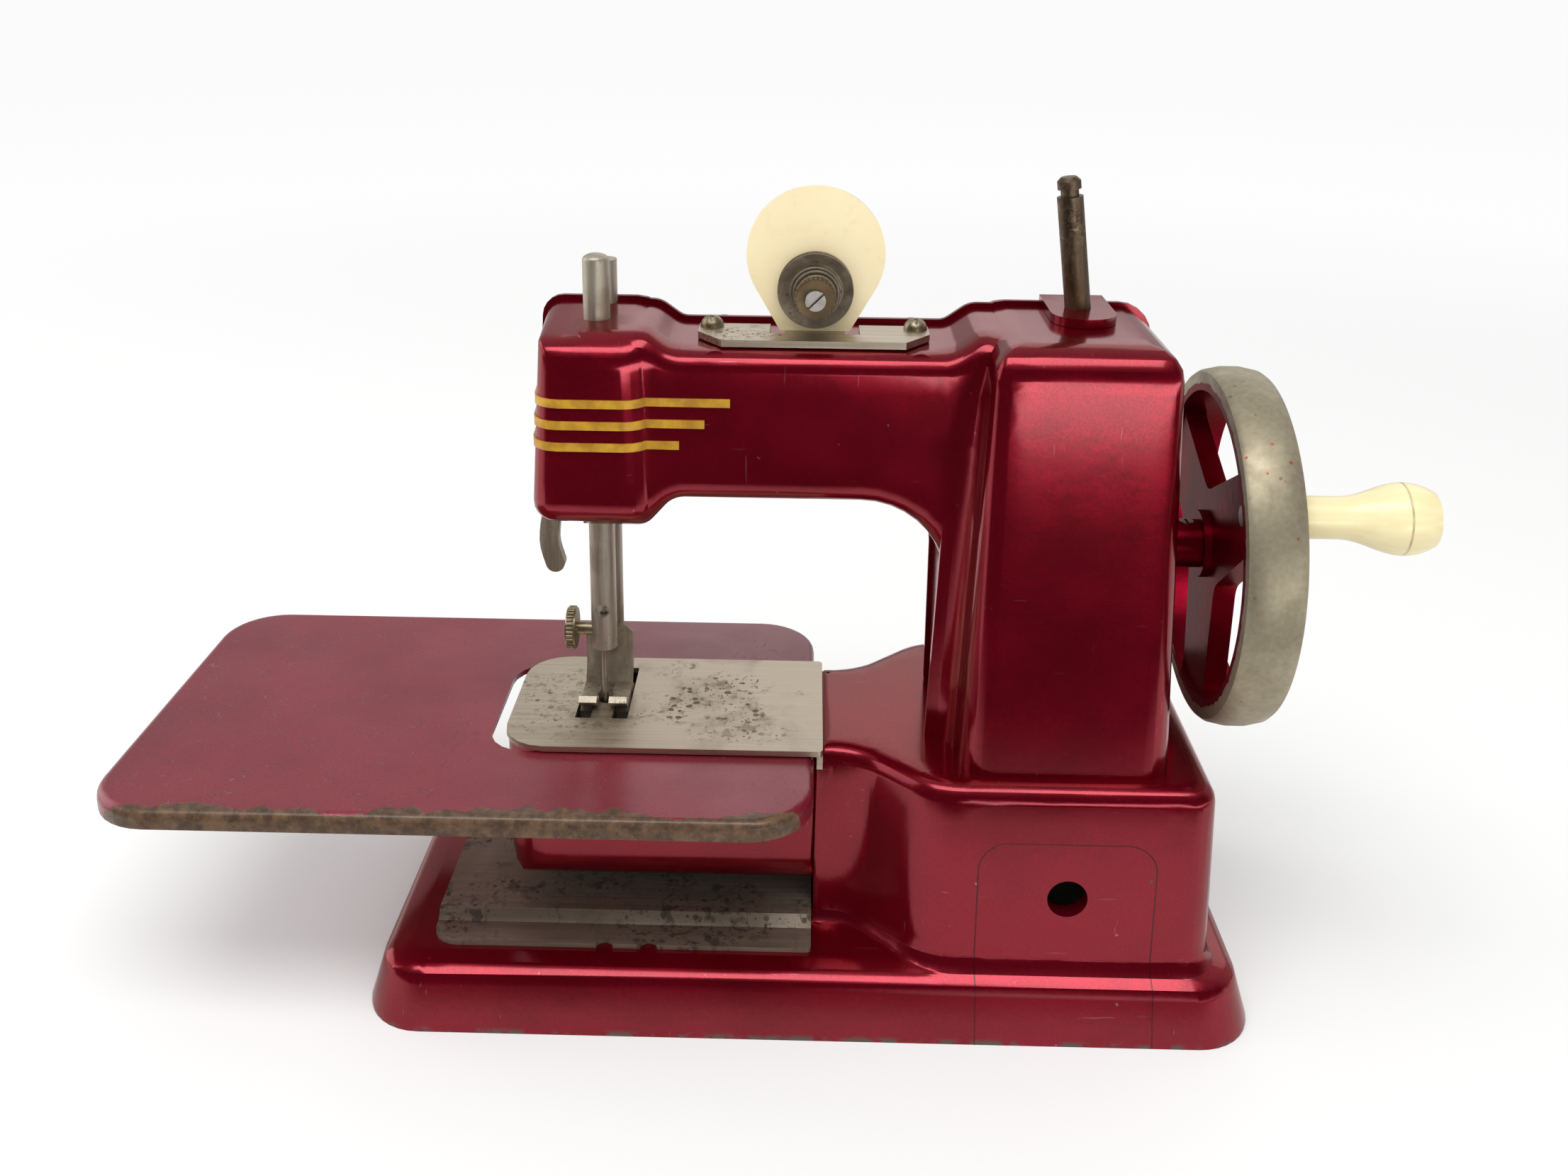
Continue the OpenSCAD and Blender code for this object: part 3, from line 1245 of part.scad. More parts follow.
// Bent sheet: upright plate, sole and two turned-up toes
module presser_foot() color(steel) difference() {
    translate([needle_x - foot_w / 2, 0, 0]) rotate([90, 0, 90]) linear_extrude(foot_w) polygon([
        [foot_plate_y, foot_top_z], [foot_plate_y, foot_heel_z + sheet_t],
        [foot_plate_y - heel_run, sole_z + sheet_t],
        [toe_y + sheet_t, sole_z + sheet_t], [toe_y - sheet_t / 2, sole_z + toe_rise + sheet_t],
        [toe_y - 1.5 * sheet_t, sole_z + toe_rise], [toe_y + sheet_t / 2, sole_z],
        [foot_plate_y - heel_run + sheet_t / 2, sole_z],
        [foot_plate_y + sheet_t, foot_heel_z + sheet_t / 2], [foot_plate_y + sheet_t, foot_top_z]]);
    // Chamfered shoulders, and the gap between the toes
    for (side = [-1, 1])
        translate([needle_x + side * foot_w / 2, foot_plate_y - cut, foot_top_z]) rotate([-90, 45, 0])
            translate([-foot_chamfer / 2, -foot_chamfer / 2, 0])
                cube([foot_chamfer, foot_chamfer, 4 * sheet_t]);
    box([needle_x - toe_gap / 2, needle_x + toe_gap / 2], [toe_y - 4 * sheet_t, foot_plate_y - 3 * sheet_t],
        [bed_top, foot_heel_z]);
    // Round eye for the needle behind the toes
    rod_z(needle_eye_d, bed_top, foot_heel_z, needle_x, 0);
    rod_y(presser_screw_d + 2 * run_fit, foot_plate_y - cut, foot_plate_y + 2 * sheet_t,
        needle_x, presser_screw_z);
}

module presser_screw() color(steel) {
    rod_y(presser_screw_d, foot_plate_y, presser_y - cut, needle_x, presser_screw_z);
    rod_y(presser_screw_head_d, foot_plate_y - sheet_t, foot_plate_y, needle_x, presser_screw_z);
}

presser_spring_r = bar_r + 1.5 * spring_wire;

module presser_spring() color(steel) translate([needle_x, presser_y, 0]) rotate([90, 0, 0])
    wire([for (i = [0 : presser_coils * spring_rings])
        coil_point(i / (presser_coils * spring_rings), presser_spring_r, presser_spring_r,
            collar_z[1] + spring_wire, head_top - cast_wall - head_drawn_in - spring_wire, presser_coils)],
        spring_wire, spring_sides);

finger_points = smooth_path(finger_knots, finger_steps);

// Cam hub with a finger that hangs out of the head
module presser_lifter() color(steel) difference() {
    facing_front(lifter_y[1]) linear_extrude(lifter_y[1] - lifter_y[0]) union() {
        translate([lifter_x, lifter_z]) polygon([for (a = [0 : 10 : 350])
            (lifter_base_r + lifter_lobe * max(0, cos(min(abs(a - 180), 90)))) * [cos(a), sin(a)]]);
        for (k = [0 : len(finger_points) - 2]) hull() {
            translate(finger_points[k]) circle(d = finger_w);
            translate(finger_points[k + 1]) circle(d = finger_w);
        }
    }
    rod_y(lifter_pin_d + 2 * run_fit, lifter_y[0] - cut, lifter_y[1] + cut, lifter_x, lifter_z);
}

module lifter_pin() color(steel) {
    rod_y(lifter_pin_d, lifter_head_y, head_back - cast_wall / 2, lifter_x, lifter_z);
    rod_y(lifter_pin_d + 2 * boss_wall, lifter_head_y, lifter_head_y + lifter_head_t, lifter_x, lifter_z);
}

// Stitch forming: looper shaft, looper and feed dog

looper_x = [-43.3, -38];
looper_hub_d = 9;
looper_reach = 6.8;
looper_hook_w = 2.4;
looper_floor = 2;
shaft_over = 2;
hook_sweep = 150;
hook_ramp = 60;
feed_travel = 3;
feed_bar_t = 2;
feed_hole_d = 8;
feed_rail_w = slot_w - 2 * gap;
feed_rail_y = [-3, 9];
feed_teeth = 8;
feed_root = 0.1;
feed_tooth_h = 0.7;
tooth_top_share = 0.9;

module looper_shaft() color(steel)
    rod_x(looper_shaft_d, looper_x[0] + looper_floor, bearing_x[1] + shaft_over, 0, looper_z);

module looper_bushes() color(brass) for (x = [web_x[0], neck_x, bearing_x[0]]) difference() {
    length = x == neck_x ? base_wall : web_x[1] - web_x[0];
    rod_x(looper_shaft_d + 2 * bush_wall, x, x + length, 0, looper_z);
    rod_x(looper_shaft_d + 2 * run_fit, x - cut, x + bush_len + cut, 0, looper_z);
}

// Hub with a curved hook that sweeps past the needle
module looper() color(steel) difference() {
    union() {
        rod_x(looper_hub_d, looper_x[0], looper_x[1], 0, looper_z);
        translate([looper_x[0], 0, looper_z]) rotate([90, 0, 90]) linear_extrude(looper_hook_w) polygon([
            for (a = [0 : 10 : hook_sweep]) let (rise = looper_reach - looper_hub_d / 2)
                (looper_hub_d / 2 + rise * min(1, a / hook_ramp)) * [cos(a), sin(a)],
            for (a = [hook_sweep : -10 : 0]) (looper_hub_d / 2 - looper_hook_w / 2) * [cos(a), sin(a)]]);
    }
    rod_x(looper_shaft_d, looper_x[0] + looper_floor, looper_x[1] + cut, 0, looper_z);
}

module feed_dog() color(dark_steel) {
    difference() {
        box([rail_x[0], web_x[1] - cut], [slot_y[0] + feed_travel, slot_y[1] - feed_travel],
            [feed_z, feed_z + feed_bar_t]);
        rod_z(feed_hole_d, feed_z - cut, feed_z + feed_bar_t + cut, needle_x, 0);
    }
    for (side = [-1, 1]) translate([needle_x + side * slot_gap - feed_rail_w / 2, 0, 0]) {
        box([0, feed_rail_w], feed_rail_y, [feed_z + feed_bar_t, plate_z]);
        pitch = (feed_rail_y[1] - feed_rail_y[0]) / feed_teeth;
        rotate([90, 0, 90]) linear_extrude(feed_rail_w) polygon([[feed_rail_y[0], plate_z],
            for (k = [0 : feed_teeth - 1]) each [[feed_rail_y[0] + pitch * k, plate_z + feed_root],
                [feed_rail_y[0] + pitch * (k + tooth_top_share), plate_z + feed_root + feed_tooth_h]],
            [feed_rail_y[1], plate_z]]);
    }
}

base_casting();
base_cover_plate();
free_arm();
free_arm_screws();
needle_plate();
front_casing();
rear_casing();
casing_screws();
body_screws();
gold_stripes();
spool_pin();
tension_bracket();
bracket_screws();
thread_guide();
tension_stud();
tension_washers();
tension_spring();
tension_nut();
extension_table();
hand_wheel();
wheel_screw();
main_shaft();
shaft_bush();
drive_gear();
crank_disc();
idler_gear();
idler_pin();
crank_handle();
handle_pin();
rocker_beam();
rocker_pin();
needle_bar();
needle_screw();
needle();
presser_bar();
presser_collar();
presser_foot();
presser_screw();
presser_spring();
presser_lifter();
lifter_pin();
looper_shaft();
looper_gear();
looper();
looper_bushes();
feed_dog();
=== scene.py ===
import json
import math

import bmesh
import bpy
import numpy as np
from mathutils import Matrix, Vector
from mathutils.kdtree import KDTree


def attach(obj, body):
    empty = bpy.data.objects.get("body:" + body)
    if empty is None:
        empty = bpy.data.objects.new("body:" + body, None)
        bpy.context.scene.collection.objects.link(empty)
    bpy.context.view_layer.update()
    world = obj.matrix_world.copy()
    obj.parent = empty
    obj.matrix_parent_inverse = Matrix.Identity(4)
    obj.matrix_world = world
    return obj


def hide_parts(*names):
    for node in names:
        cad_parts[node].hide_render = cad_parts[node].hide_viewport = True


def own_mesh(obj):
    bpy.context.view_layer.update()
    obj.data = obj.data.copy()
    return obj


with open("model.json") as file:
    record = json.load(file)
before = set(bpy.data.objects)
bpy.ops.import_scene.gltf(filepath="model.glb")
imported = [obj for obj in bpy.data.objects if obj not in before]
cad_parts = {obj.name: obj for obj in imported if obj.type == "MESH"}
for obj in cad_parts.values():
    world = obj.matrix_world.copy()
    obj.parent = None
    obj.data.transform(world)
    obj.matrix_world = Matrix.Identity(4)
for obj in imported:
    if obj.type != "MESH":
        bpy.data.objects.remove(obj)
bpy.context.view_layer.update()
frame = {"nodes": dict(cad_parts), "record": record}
nodes = frame["nodes"]
mm = 0.001
print("frame loaded,", len(nodes), "nodes")


# camera first: its place was fitted to edges of the photograph
photoCamera = {
    "place": (-1.83, -289.93, 209.71),
    "yaw": -0.017,
    "pitch": 0.28,
    "roll": 0.012,
    "focalPixels": 2100.0,
    "photoWide": 2212.0,
    "axisLift": 300.0,  # the lens axis meets the photograph this far above its middle
    "sensor": 36.0,
    "nearest": 0.01,
}


def addCamera(s):
    yaw, pitch, roll = s["yaw"], s["pitch"], s["roll"]
    ahead = Vector((math.sin(yaw) * math.cos(pitch), math.cos(yaw) * math.cos(pitch), -math.sin(pitch)))
    side = Vector((math.cos(yaw), -math.sin(yaw), 0.0))
    up = side.cross(ahead)
    turnedSide = side * math.cos(roll) + up * math.sin(roll)
    turnedUp = up * math.cos(roll) - side * math.sin(roll)
    data = bpy.data.cameras.new("photoCamera")
    data.sensor_width = s["sensor"]
    data.sensor_fit = "HORIZONTAL"
    data.lens = s["sensor"] * s["focalPixels"] / s["photoWide"]
    data.shift_y = -s["axisLift"] / s["photoWide"]
    data.clip_start = s["nearest"]
    camera = bpy.data.objects.new("photoCamera", data)
    bpy.context.collection.objects.link(camera)
    turn = Matrix((turnedSide, turnedUp, -ahead)).transposed().to_4x4()
    camera.matrix_world = Matrix.Translation(Vector(s["place"]) * mm) @ turn
    bpy.context.scene.camera = camera


addCamera(photoCamera)
bpy.context.scene.view_settings.view_transform = "Standard"
print("camera placed")


# small helpers for node trees
middleBand = (0.3, 0.7)  # most of a noise's values lie in here


def addNode(tree, kind, inputs=None, **settings):
    made = tree.nodes.new(kind)
    for name, value in settings.items():
        setattr(made, name, value)
    for name, value in (inputs or {}).items():
        socket = made.inputs[name]
        if isinstance(value, bpy.types.NodeSocket):
            tree.links.new(value, socket)
        else:
            socket.default_value = value
    return made


def objectCoords(tree, scale=(1, 1, 1), turn=(0, 0, 0)):
    coords = addNode(tree, "ShaderNodeTexCoord")
    mapping = addNode(tree, "ShaderNodeMapping", {
        "Vector": coords.outputs["Object"], "Rotation": turn, "Scale": scale})
    return mapping.outputs["Vector"]


def axisValue(tree, axis):
    coords = addNode(tree, "ShaderNodeTexCoord")
    split = addNode(tree, "ShaderNodeSeparateXYZ", {"Vector": coords.outputs["Object"]})
    return split.outputs[axis]


def maths(tree, operation, a, b=0.0):
    return addNode(tree, "ShaderNodeMath", {0: a, 1: b}, operation=operation).outputs[0]


def plus(tree, a, b):
    return maths(tree, "ADD", a, b)


def minus(tree, a, b):
    return maths(tree, "SUBTRACT", a, b)


def times(tree, a, b):
    return maths(tree, "MULTIPLY", a, b)


def larger(tree, a, b):
    return maths(tree, "MAXIMUM", a, b)


def inverse(tree, share):
    return minus(tree, 1.0, share)


def blended(tree, under, over, share):
    return plus(tree, times(tree, under, 1.0 - share), times(tree, over, share))


def away(tree, a, b):
    return maths(tree, "SQRT", plus(tree, maths(tree, "POWER", a, 2.0), maths(tree, "POWER", b, 2.0)))


def offFrom(tree, value, place):
    return maths(tree, "ABSOLUTE", minus(tree, value, place))


def ramp(tree, value, low, high, toLow=0.0, toHigh=1.0):
    return addNode(tree, "ShaderNodeMapRange", {
        "Value": value, "From Min": low, "From Max": high, "To Min": toLow, "To Max": toHigh},
        interpolation_type="SMOOTHSTEP").outputs["Result"]


def noise(tree, scale, detail=3.0, rough=0.55, stretch=(1, 1, 1), turn=(0, 0, 0), warp=0.0):
    vector = objectCoords(tree, scale=stretch, turn=turn)
    return addNode(tree, "ShaderNodeTexNoise", {
        "Vector": vector, "Scale": scale, "Detail": detail, "Roughness": rough,
        "Distortion": warp}).outputs["Fac"]


def patches(tree, band=middleBand, to=(0.0, 1.0), **kind):
    return ramp(tree, noise(tree, **kind), *band, *to)


def swayed(tree, sway, **kind):
    # a noise about zero, its whole width given in mm
    return times(tree, minus(tree, noise(tree, **kind), 0.5), sway * mm)


def spots(tree, scale, radius, share, warp=0.25):
    # round-ish spots: a few of the cells of a Voronoi pattern, with ragged edges
    raggedScale, raggedDetail, softEdge = 5, 2.0, 0.18
    vector = objectCoords(tree)
    ragged = addNode(tree, "ShaderNodeTexNoise", {
        "Vector": vector, "Scale": scale * raggedScale, "Detail": raggedDetail})
    shifted = addNode(tree, "ShaderNodeVectorMath", {
        0: ragged.outputs["Color"], 1: (warp / scale, warp / scale, warp / scale)}, operation="MULTIPLY")
    moved = addNode(tree, "ShaderNodeVectorMath", {0: vector, 1: shifted.outputs[0]}, operation="ADD")
    cells = addNode(tree, "ShaderNodeTexVoronoi", {"Vector": moved.outputs[0], "Scale": scale})
    split = addNode(tree, "ShaderNodeSeparateColor", {"Color": cells.outputs["Color"]})
    chosen = maths(tree, "GREATER_THAN", split.outputs[0], 1.0 - share)
    size = times(tree, split.outputs[1], radius)  # each chosen cell has its own size
    inside = minus(tree, size, cells.outputs["Distance"])
    edge = ramp(tree, inside, 0.0, radius * softEdge)
    return times(tree, edge, chosen)


def mixColours(tree, share, under, over):
    mix = addNode(tree, "ShaderNodeMix", data_type="RGBA", blend_type="MIX")
    for place, value in ((0, share), (6, under), (7, over)):
        socket = mix.inputs[place]
        if isinstance(value, bpy.types.NodeSocket):
            tree.links.new(value, socket)
        elif place == 0:
            socket.default_value = value
        else:
            socket.default_value = (*value, 1.0)
    return mix.outputs[2]


def bump(tree, height, strength, depth, under=None):
    inputs = {"Height": height, "Strength": strength, "Distance": depth * mm}
    if under is not None:
        inputs["Normal"] = under
    return addNode(tree, "ShaderNodeBump", inputs).outputs["Normal"]


def newFinish(name, **sockets):
    made = bpy.data.materials.new(name)
    made.use_nodes = True
    shader = made.node_tree.nodes["Principled BSDF"]
    for socket, value in sockets.items():
        shader.inputs[socket.replace("_", " ")].default_value = value
    return made, made.node_tree, shader


def setSurface(tree, shader, colour, rough, normal):
    for name, value in (("Base Color", colour), ("Roughness", rough), ("Normal", normal)):
        tree.links.new(value, shader.inputs[name])


# In each look below a set of spots is given as scale, size and share of the cells,
# and a bump as strength and depth in mm.
# Ruby lacquer over die casting, with chips, dust and fine scratches.
rubyLook = {
    "deep": (0.162, 0.0009, 0.0072),
    "bright": (0.262, 0.0030, 0.0165),
    "edge": (0.50, 0.05, 0.10),  # gloss at a low angle keeps the red
    "metal": 0.72,
    "coat": 0.62,
    "coatRough": 0.13,
    "coatIor": 1.5,
    "cloud": {"scale": 28.0, "detail": 4.0},
    "flake": {"scale": 2600.0, "detail": 1.0, "band": (0.35, 0.65)},
    "flakeShare": 0.45,
    "chip": (0.10, 0.085, 0.068),
    "chipSpots": ((60.0, 0.05, 0.06), (190.0, 0.10, 0.05)),
    "scratch": (0.42, 0.16, 0.17),
    "scratchShare": 0.35,
    "scratchBand": (0.735, 0.75),
    "scratchLines": (
        {"scale": 60.0, "detail": 2.0, "stretch": (1.0, 14.0, 22.0), "turn": (0, 0.6, 0.3)},
        {"scale": 55.0, "detail": 2.0, "stretch": (20.0, 12.0, 1.0), "turn": (0, -0.4, 0)},
    ),
    "rubHeight": (1.6, 0.2),  # the foot's lower edge has rubbed through
    "rub": {"scale": 260.0, "detail": 3.0, "band": (0.45, 0.6)},
    "dust": (0.42, 0.30, 0.28),
    "dustSpots": (420.0, 0.16, 0.05),
    "dustShare": 0.35,
    "rough": {"scale": 90.0, "detail": 3.0, "to": (0.17, 0.25)},
    "wornRough": 0.25,
    "peel": {"scale": 240.0, "detail": 2.0},
    "peelBump": (0.035, 1.0),
    "wornBump": (0.5, 0.25),
    "line": (0.030, 0.0008, 0.003),
    "lineShare": 0.75,
    "lineBump": (0.7, 0.3),
    "lineHalf": 0.16,
    "lineCore": 0.4,
    "panelMiddle": 51.0,
    "panelHalf": 17.6,
    "panelTop": 40.8,
    "panelCorner": 6.0,
    "panelFront": (-28.5, -30.0),
}


def panelLine(tree, s):
    # outline of the panel on the plinth's front, run on down through the foot
    x, y, z = axisValue(tree, "X"), axisValue(tree, "Y"), axisValue(tree, "Z")
    corner = s["panelCorner"] * mm
    across = minus(tree, offFrom(tree, x, s["panelMiddle"] * mm), (s["panelHalf"] - s["panelCorner"]) * mm)
    along = minus(tree, z, (s["panelTop"] - s["panelCorner"]) * mm)
    outX = larger(tree, across, 0.0)
    outZ = larger(tree, along, 0.0)
    outside = away(tree, outX, outZ)
    within = maths(tree, "MINIMUM", larger(tree, across, along), 0.0)
    offLine = offFrom(tree, plus(tree, outside, within), corner)
    line = ramp(tree, offLine, s["lineHalf"] * mm, s["lineCore"] * s["lineHalf"] * mm)
    frontStart, frontFull = s["panelFront"]
    front = ramp(tree, y, frontStart * mm, frontFull * mm)
    return times(tree, line, front)


def lacquerDepth(tree, s):
    cloud = patches(tree, **s["cloud"])
    flake = patches(tree, **s["flake"])
    return blended(tree, cloud, flake, s["flakeShare"])


def rubyLacquer(name, s, panel=False):
    made, tree, shader = newFinish(
        name, Metallic=s["metal"], Coat_Weight=s["coat"], Coat_Roughness=s["coatRough"],
        Coat_IOR=s["coatIor"], Specular_Tint=(*s["edge"], 1.0))
    colour = mixColours(tree, lacquerDepth(tree, s), s["deep"], s["bright"])
    large, small = s["chipSpots"]
    chips = larger(tree, spots(tree, *large), spots(tree, *small))
    lines = [patches(tree, band=s["scratchBand"], **kind) for kind in s["scratchLines"]]
    scratches = times(tree, larger(tree, *lines), s["scratchShare"])
    rubTop, rubFull = s["rubHeight"]
    low = ramp(tree, axisValue(tree, "Z"), rubTop * mm, rubFull * mm)
    worn = larger(tree, chips, times(tree, low, patches(tree, **s["rub"])))
    colour = mixColours(tree, scratches, colour, s["scratch"])
    colour = mixColours(tree, worn, colour, s["chip"])
    dust = times(tree, spots(tree, *s["dustSpots"]), s["dustShare"])
    colour = mixColours(tree, dust, colour, s["dust"])
    rough = plus(tree, patches(tree, **s["rough"]), times(tree, worn, s["wornRough"]))
    normal = bump(tree, noise(tree, **s["peel"]), *s["peelBump"])
    normal = bump(tree, inverse(tree, worn), *s["wornBump"], normal)
    if panel:
        line = panelLine(tree, s)
        colour = mixColours(tree, times(tree, line, s["lineShare"]), colour, s["line"])
        normal = bump(tree, inverse(tree, line), *s["lineBump"], normal)
    setSurface(tree, shader, colour, rough, normal)
    return made


# pressed sheet table: thinner, duller lacquer, dented, its front rim worn to brown metal
tableLook = {
    "deep": (0.155, 0.0060, 0.017),
    "bright": (0.27, 0.019, 0.038),
    "metal": 0.30,
    "coat": 0.55,
    "coatRough": 0.22,
    "cloud": {"scale": 24.0, "detail": 5.0, "band": (0.3, 0.72)},
    "flake": {"scale": 2200.0, "detail": 1.0, "band": (0.35, 0.65)},
    "flakeShare": 0.4,
    # the dents are painted lighter: a painted highlight where light catches them, beside their real bump
    "dentHighlight": (0.36, 0.12, 0.13),
    "dentMarks": {"scale": 330.0, "detail": 3.0, "rough": 0.7, "warp": 1.2, "band": (0.60, 0.70)},
    "dentZones": {"scale": 20.0, "detail": 2.0, "band": (0.38, 0.62)},
    "dentHighlightShare": 0.38,
    "dentBump": (0.8, 0.6),
    "bare": (0.068, 0.033, 0.015),
    "bareLight": (0.17, 0.090, 0.042),
    "bareMix": {"scale": 420.0, "detail": 5.0, "rough": 0.7, "band": (0.35, 0.7)},
    "frontEdge": -43.1,
    "edgeBand": (0.35, -0.05),
    "rimTop": 53.2,
    "rimSlope": 0.55,  # most wear low on the rim
    "fineWear": {"scale": 190.0, "detail": 4.0, "rough": 0.65, "sway": 6.0},
    "broadWear": {"scale": 48.0, "detail": 3.0, "sway": 11.0},
    "keptLacquer": {"scale": 60.0, "detail": 3.0, "band": (0.64, 0.67)},  # patches left on the rim
    "keptShare": 0.9,
    "specks": (230.0, 0.14, 0.06),
    "speckShare": 0.6,
    "rough": {"scale": 60.0, "detail": 4.0, "to": (0.36, 0.50)},
    "wearRough": 0.25,
    "wearBump": (0.5, 0.25),
    "peel": {"scale": 260.0, "detail": 2.0},
    "peelBump": (0.10, 1.0),
}


def tableLacquer(name, s):
    made, tree, shader = newFinish(
        name, Metallic=s["metal"], Coat_Weight=s["coat"], Coat_Roughness=s["coatRough"])
    colour = mixColours(tree, lacquerDepth(tree, s), s["deep"], s["bright"])
    # dent mask: real dents in the bump, and a painted highlight in the colour
    dentsAndHighlight = times(tree, patches(tree, **s["dentMarks"]), patches(tree, **s["dentZones"]))
    colour = mixColours(tree, times(tree, dentsAndHighlight, s["dentHighlightShare"]), colour, s["dentHighlight"])
    y = axisValue(tree, "Y")
    z = axisValue(tree, "Z")
    fine = swayed(tree, **s["fineWear"])
    broad = swayed(tree, **s["broadWear"])
    drop = times(tree, minus(tree, z, s["rimTop"] * mm), s["rimSlope"])
    reach = plus(tree, plus(tree, y, drop), plus(tree, fine, broad))
    start, full = (s["frontEdge"] + off for off in s["edgeBand"])
    rim = ramp(tree, reach, start * mm, full * mm)
    kept = patches(tree, **s["keptLacquer"])
    wear = times(tree, rim, inverse(tree, times(tree, kept, s["keptShare"])))
    specks = spots(tree, *s["specks"])
    bare = mixColours(tree, patches(tree, **s["bareMix"]), s["bare"], s["bareLight"])
    colour = mixColours(tree, larger(tree, wear, times(tree, specks, s["speckShare"])), colour, bare)
    rough = plus(tree, patches(tree, **s["rough"]), times(tree, wear, s["wearRough"]))
    normal = bump(tree, noise(tree, **s["peel"]), *s["peelBump"])
    normal = bump(tree, dentsAndHighlight, *s["dentBump"], normal)
    normal = bump(tree, inverse(tree, wear), *s["wearBump"], normal)
    setSurface(tree, shader, colour, rough, normal)
    return made


# steel in several states: base colour, stain, how pitted, and the way the finish lines run
plateSteelLook = {
    "light": (0.60, 0.51, 0.405),
    "dark": (0.49, 0.41, 0.32),
    "metal": 1.0,
    "lineScale": 120.0,
    "lineWay": (0.25, 9.0, 9.0),
    "lineKind": {"detail": 3.0, "rough": 0.6},
    "lineBump": (0.10, 0.2),
    "stain": (0.30, 0.24, 0.175),
    "stainScale": 38.0,
    "stainFrom": 0.50,
    "stainWidth": 0.22,
    "stainKind": {"detail": 5.0, "rough": 0.62, "warp": 0.6},
    "stainShare": 0.45,
    "pit": (0.11, 0.080, 0.054),
    "pitScale": 620.0,
    "pitZones": {"scale": 55.0, "detail": 3.0},
    "pitFrom": 0.49,
    "pitWidth": 0.14,
    "pitShare": 0.75,
    "pitBump": (0.4, 0.15),
    "coarsePits": (0.52, 0.5),
    "finePits": (0.55, 0.4),
    "fineScale": 2.6,
    "pitWarp": 0.5,
    "rust": (0.20, 0.150, 0.098),
    "rustScale": 0.55,
    "rustKind": {"detail": 4.0, "rough": 0.6, "warp": 0.8},
    "rustBand": (0.50, 0.64),
    "rustShare": 0.7,
    "rough": 0.42,
    "roughBand": (0.25, 0.75),
    "roughSpread": (-0.05, 0.06),
    "stainedRough": 0.22,
    "pitPlaces": None,
}
# pits in patches: middle x and y, half lengths along x and y, and how dense
platePits = (
    (-22.0, 2.0, 14.0, 13.0, 1.0),
    (-56.0, 6.0, 9.0, 9.0, 0.9),
    (-50.0, -9.0, 12.0, 7.0, 0.7),
    (-14.0, -9.0, 9.0, 8.0, 0.8),
)
pitEdge = {
    "uneven": {"scale": 95.0, "detail": 4.0, "rough": 0.65, "to": (-0.55, 0.55)},
    "band": (1.25, 0.35),
}
coverSteelLook = dict(
    plateSteelLook, light=(0.42, 0.36, 0.285), dark=(0.30, 0.25, 0.195), rust=(0.09, 0.072, 0.055),
    stainShare=0.7, stainFrom=0.42, pitFrom=0.40, metal=0.8, rough=0.48)
bracketSteelLook = dict(
    plateSteelLook, light=(0.62, 0.54, 0.43), dark=(0.46, 0.38, 0.29), stain=(0.22, 0.15, 0.09),
    stainShare=0.5, pitFrom=0.52, pitScale=900.0)
barSteelLook = dict(
    plateSteelLook, light=(0.50, 0.445, 0.36), dark=(0.36, 0.315, 0.25), stain=(0.25, 0.19, 0.125),
    metal=0.75, lineWay=(9.0, 9.0, 0.5), lineScale=160.0, stainScale=70.0, stainShare=0.55,
    pitFrom=0.55, pitScale=900.0, rough=0.46)
lifterLook = dict(barSteelLook, light=(0.36, 0.31, 0.24), dark=(0.24, 0.20, 0.15), metal=0.55, rough=0.50)
footSteelLook = dict(
    barSteelLook, light=(0.52, 0.46, 0.36), dark=(0.33, 0.28, 0.21), stainFrom=0.45, stainShare=0.6,
    pitFrom=0.42, rough=0.44)
screwSteelLook = dict(
    plateSteelLook, light=(0.46, 0.43, 0.38), dark=(0.33, 0.30, 0.26), stainShare=0.3, pitFrom=0.60,
    lineScale=400.0, lineWay=(1.0, 1.0, 1.0), pitScale=1200.0, rough=0.38)
tarnishedLook = dict(
    plateSteelLook, light=(0.30, 0.25, 0.185), dark=(0.17, 0.135, 0.095), stain=(0.125, 0.085, 0.050),
    metal=0.65, lineScale=300.0, lineWay=(1.0, 1.0, 1.0), stainShare=0.7, stainFrom=0.42,
    pitFrom=0.48, pitScale=1000.0)
nutLook = dict(
    tarnishedLook, light=(0.34, 0.25, 0.145), dark=(0.19, 0.13, 0.070), stain=(0.10, 0.060, 0.030),
    rough=0.40)
studLook = dict(
    screwSteelLook, light=(0.66, 0.63, 0.57), dark=(0.52, 0.49, 0.44), stainShare=0.2, rough=0.30)
spoolLook = dict(
    tarnishedLook, light=(0.125, 0.088, 0.055), dark=(0.060, 0.038, 0.022), stain=(0.11, 0.055, 0.022),
    lineWay=(3.0, 3.0, 0.5), rough=0.44, metal=0.85)
brassLook = dict(
    plateSteelLook, light=(0.44, 0.375, 0.25), dark=(0.27, 0.22, 0.135), stain=(0.14, 0.10, 0.055),
    lineScale=500.0, lineWay=(1.0, 1.0, 1.0), stainScale=220.0, stainShare=0.6, pitFrom=0.60,
    pitScale=1200.0, rough=0.38)


def pitPatches(tree, places, s):
    # rust sits in patches where the photograph shows them, thinning out to a ragged edge
    x, y = axisValue(tree, "X"), axisValue(tree, "Y")
    uneven = patches(tree, **s["uneven"])
    cover = 0.0
    for middleX, middleY, halfX, halfY, most in places:
        offX = maths(tree, "DIVIDE", minus(tree, x, middleX * mm), halfX * mm)
        offY = maths(tree, "DIVIDE", minus(tree, y, middleY * mm), halfY * mm)
        off = plus(tree, away(tree, offX, offY), uneven)
        cover = larger(tree, cover, ramp(tree, off, *s["band"], 0.0, most))
    return cover


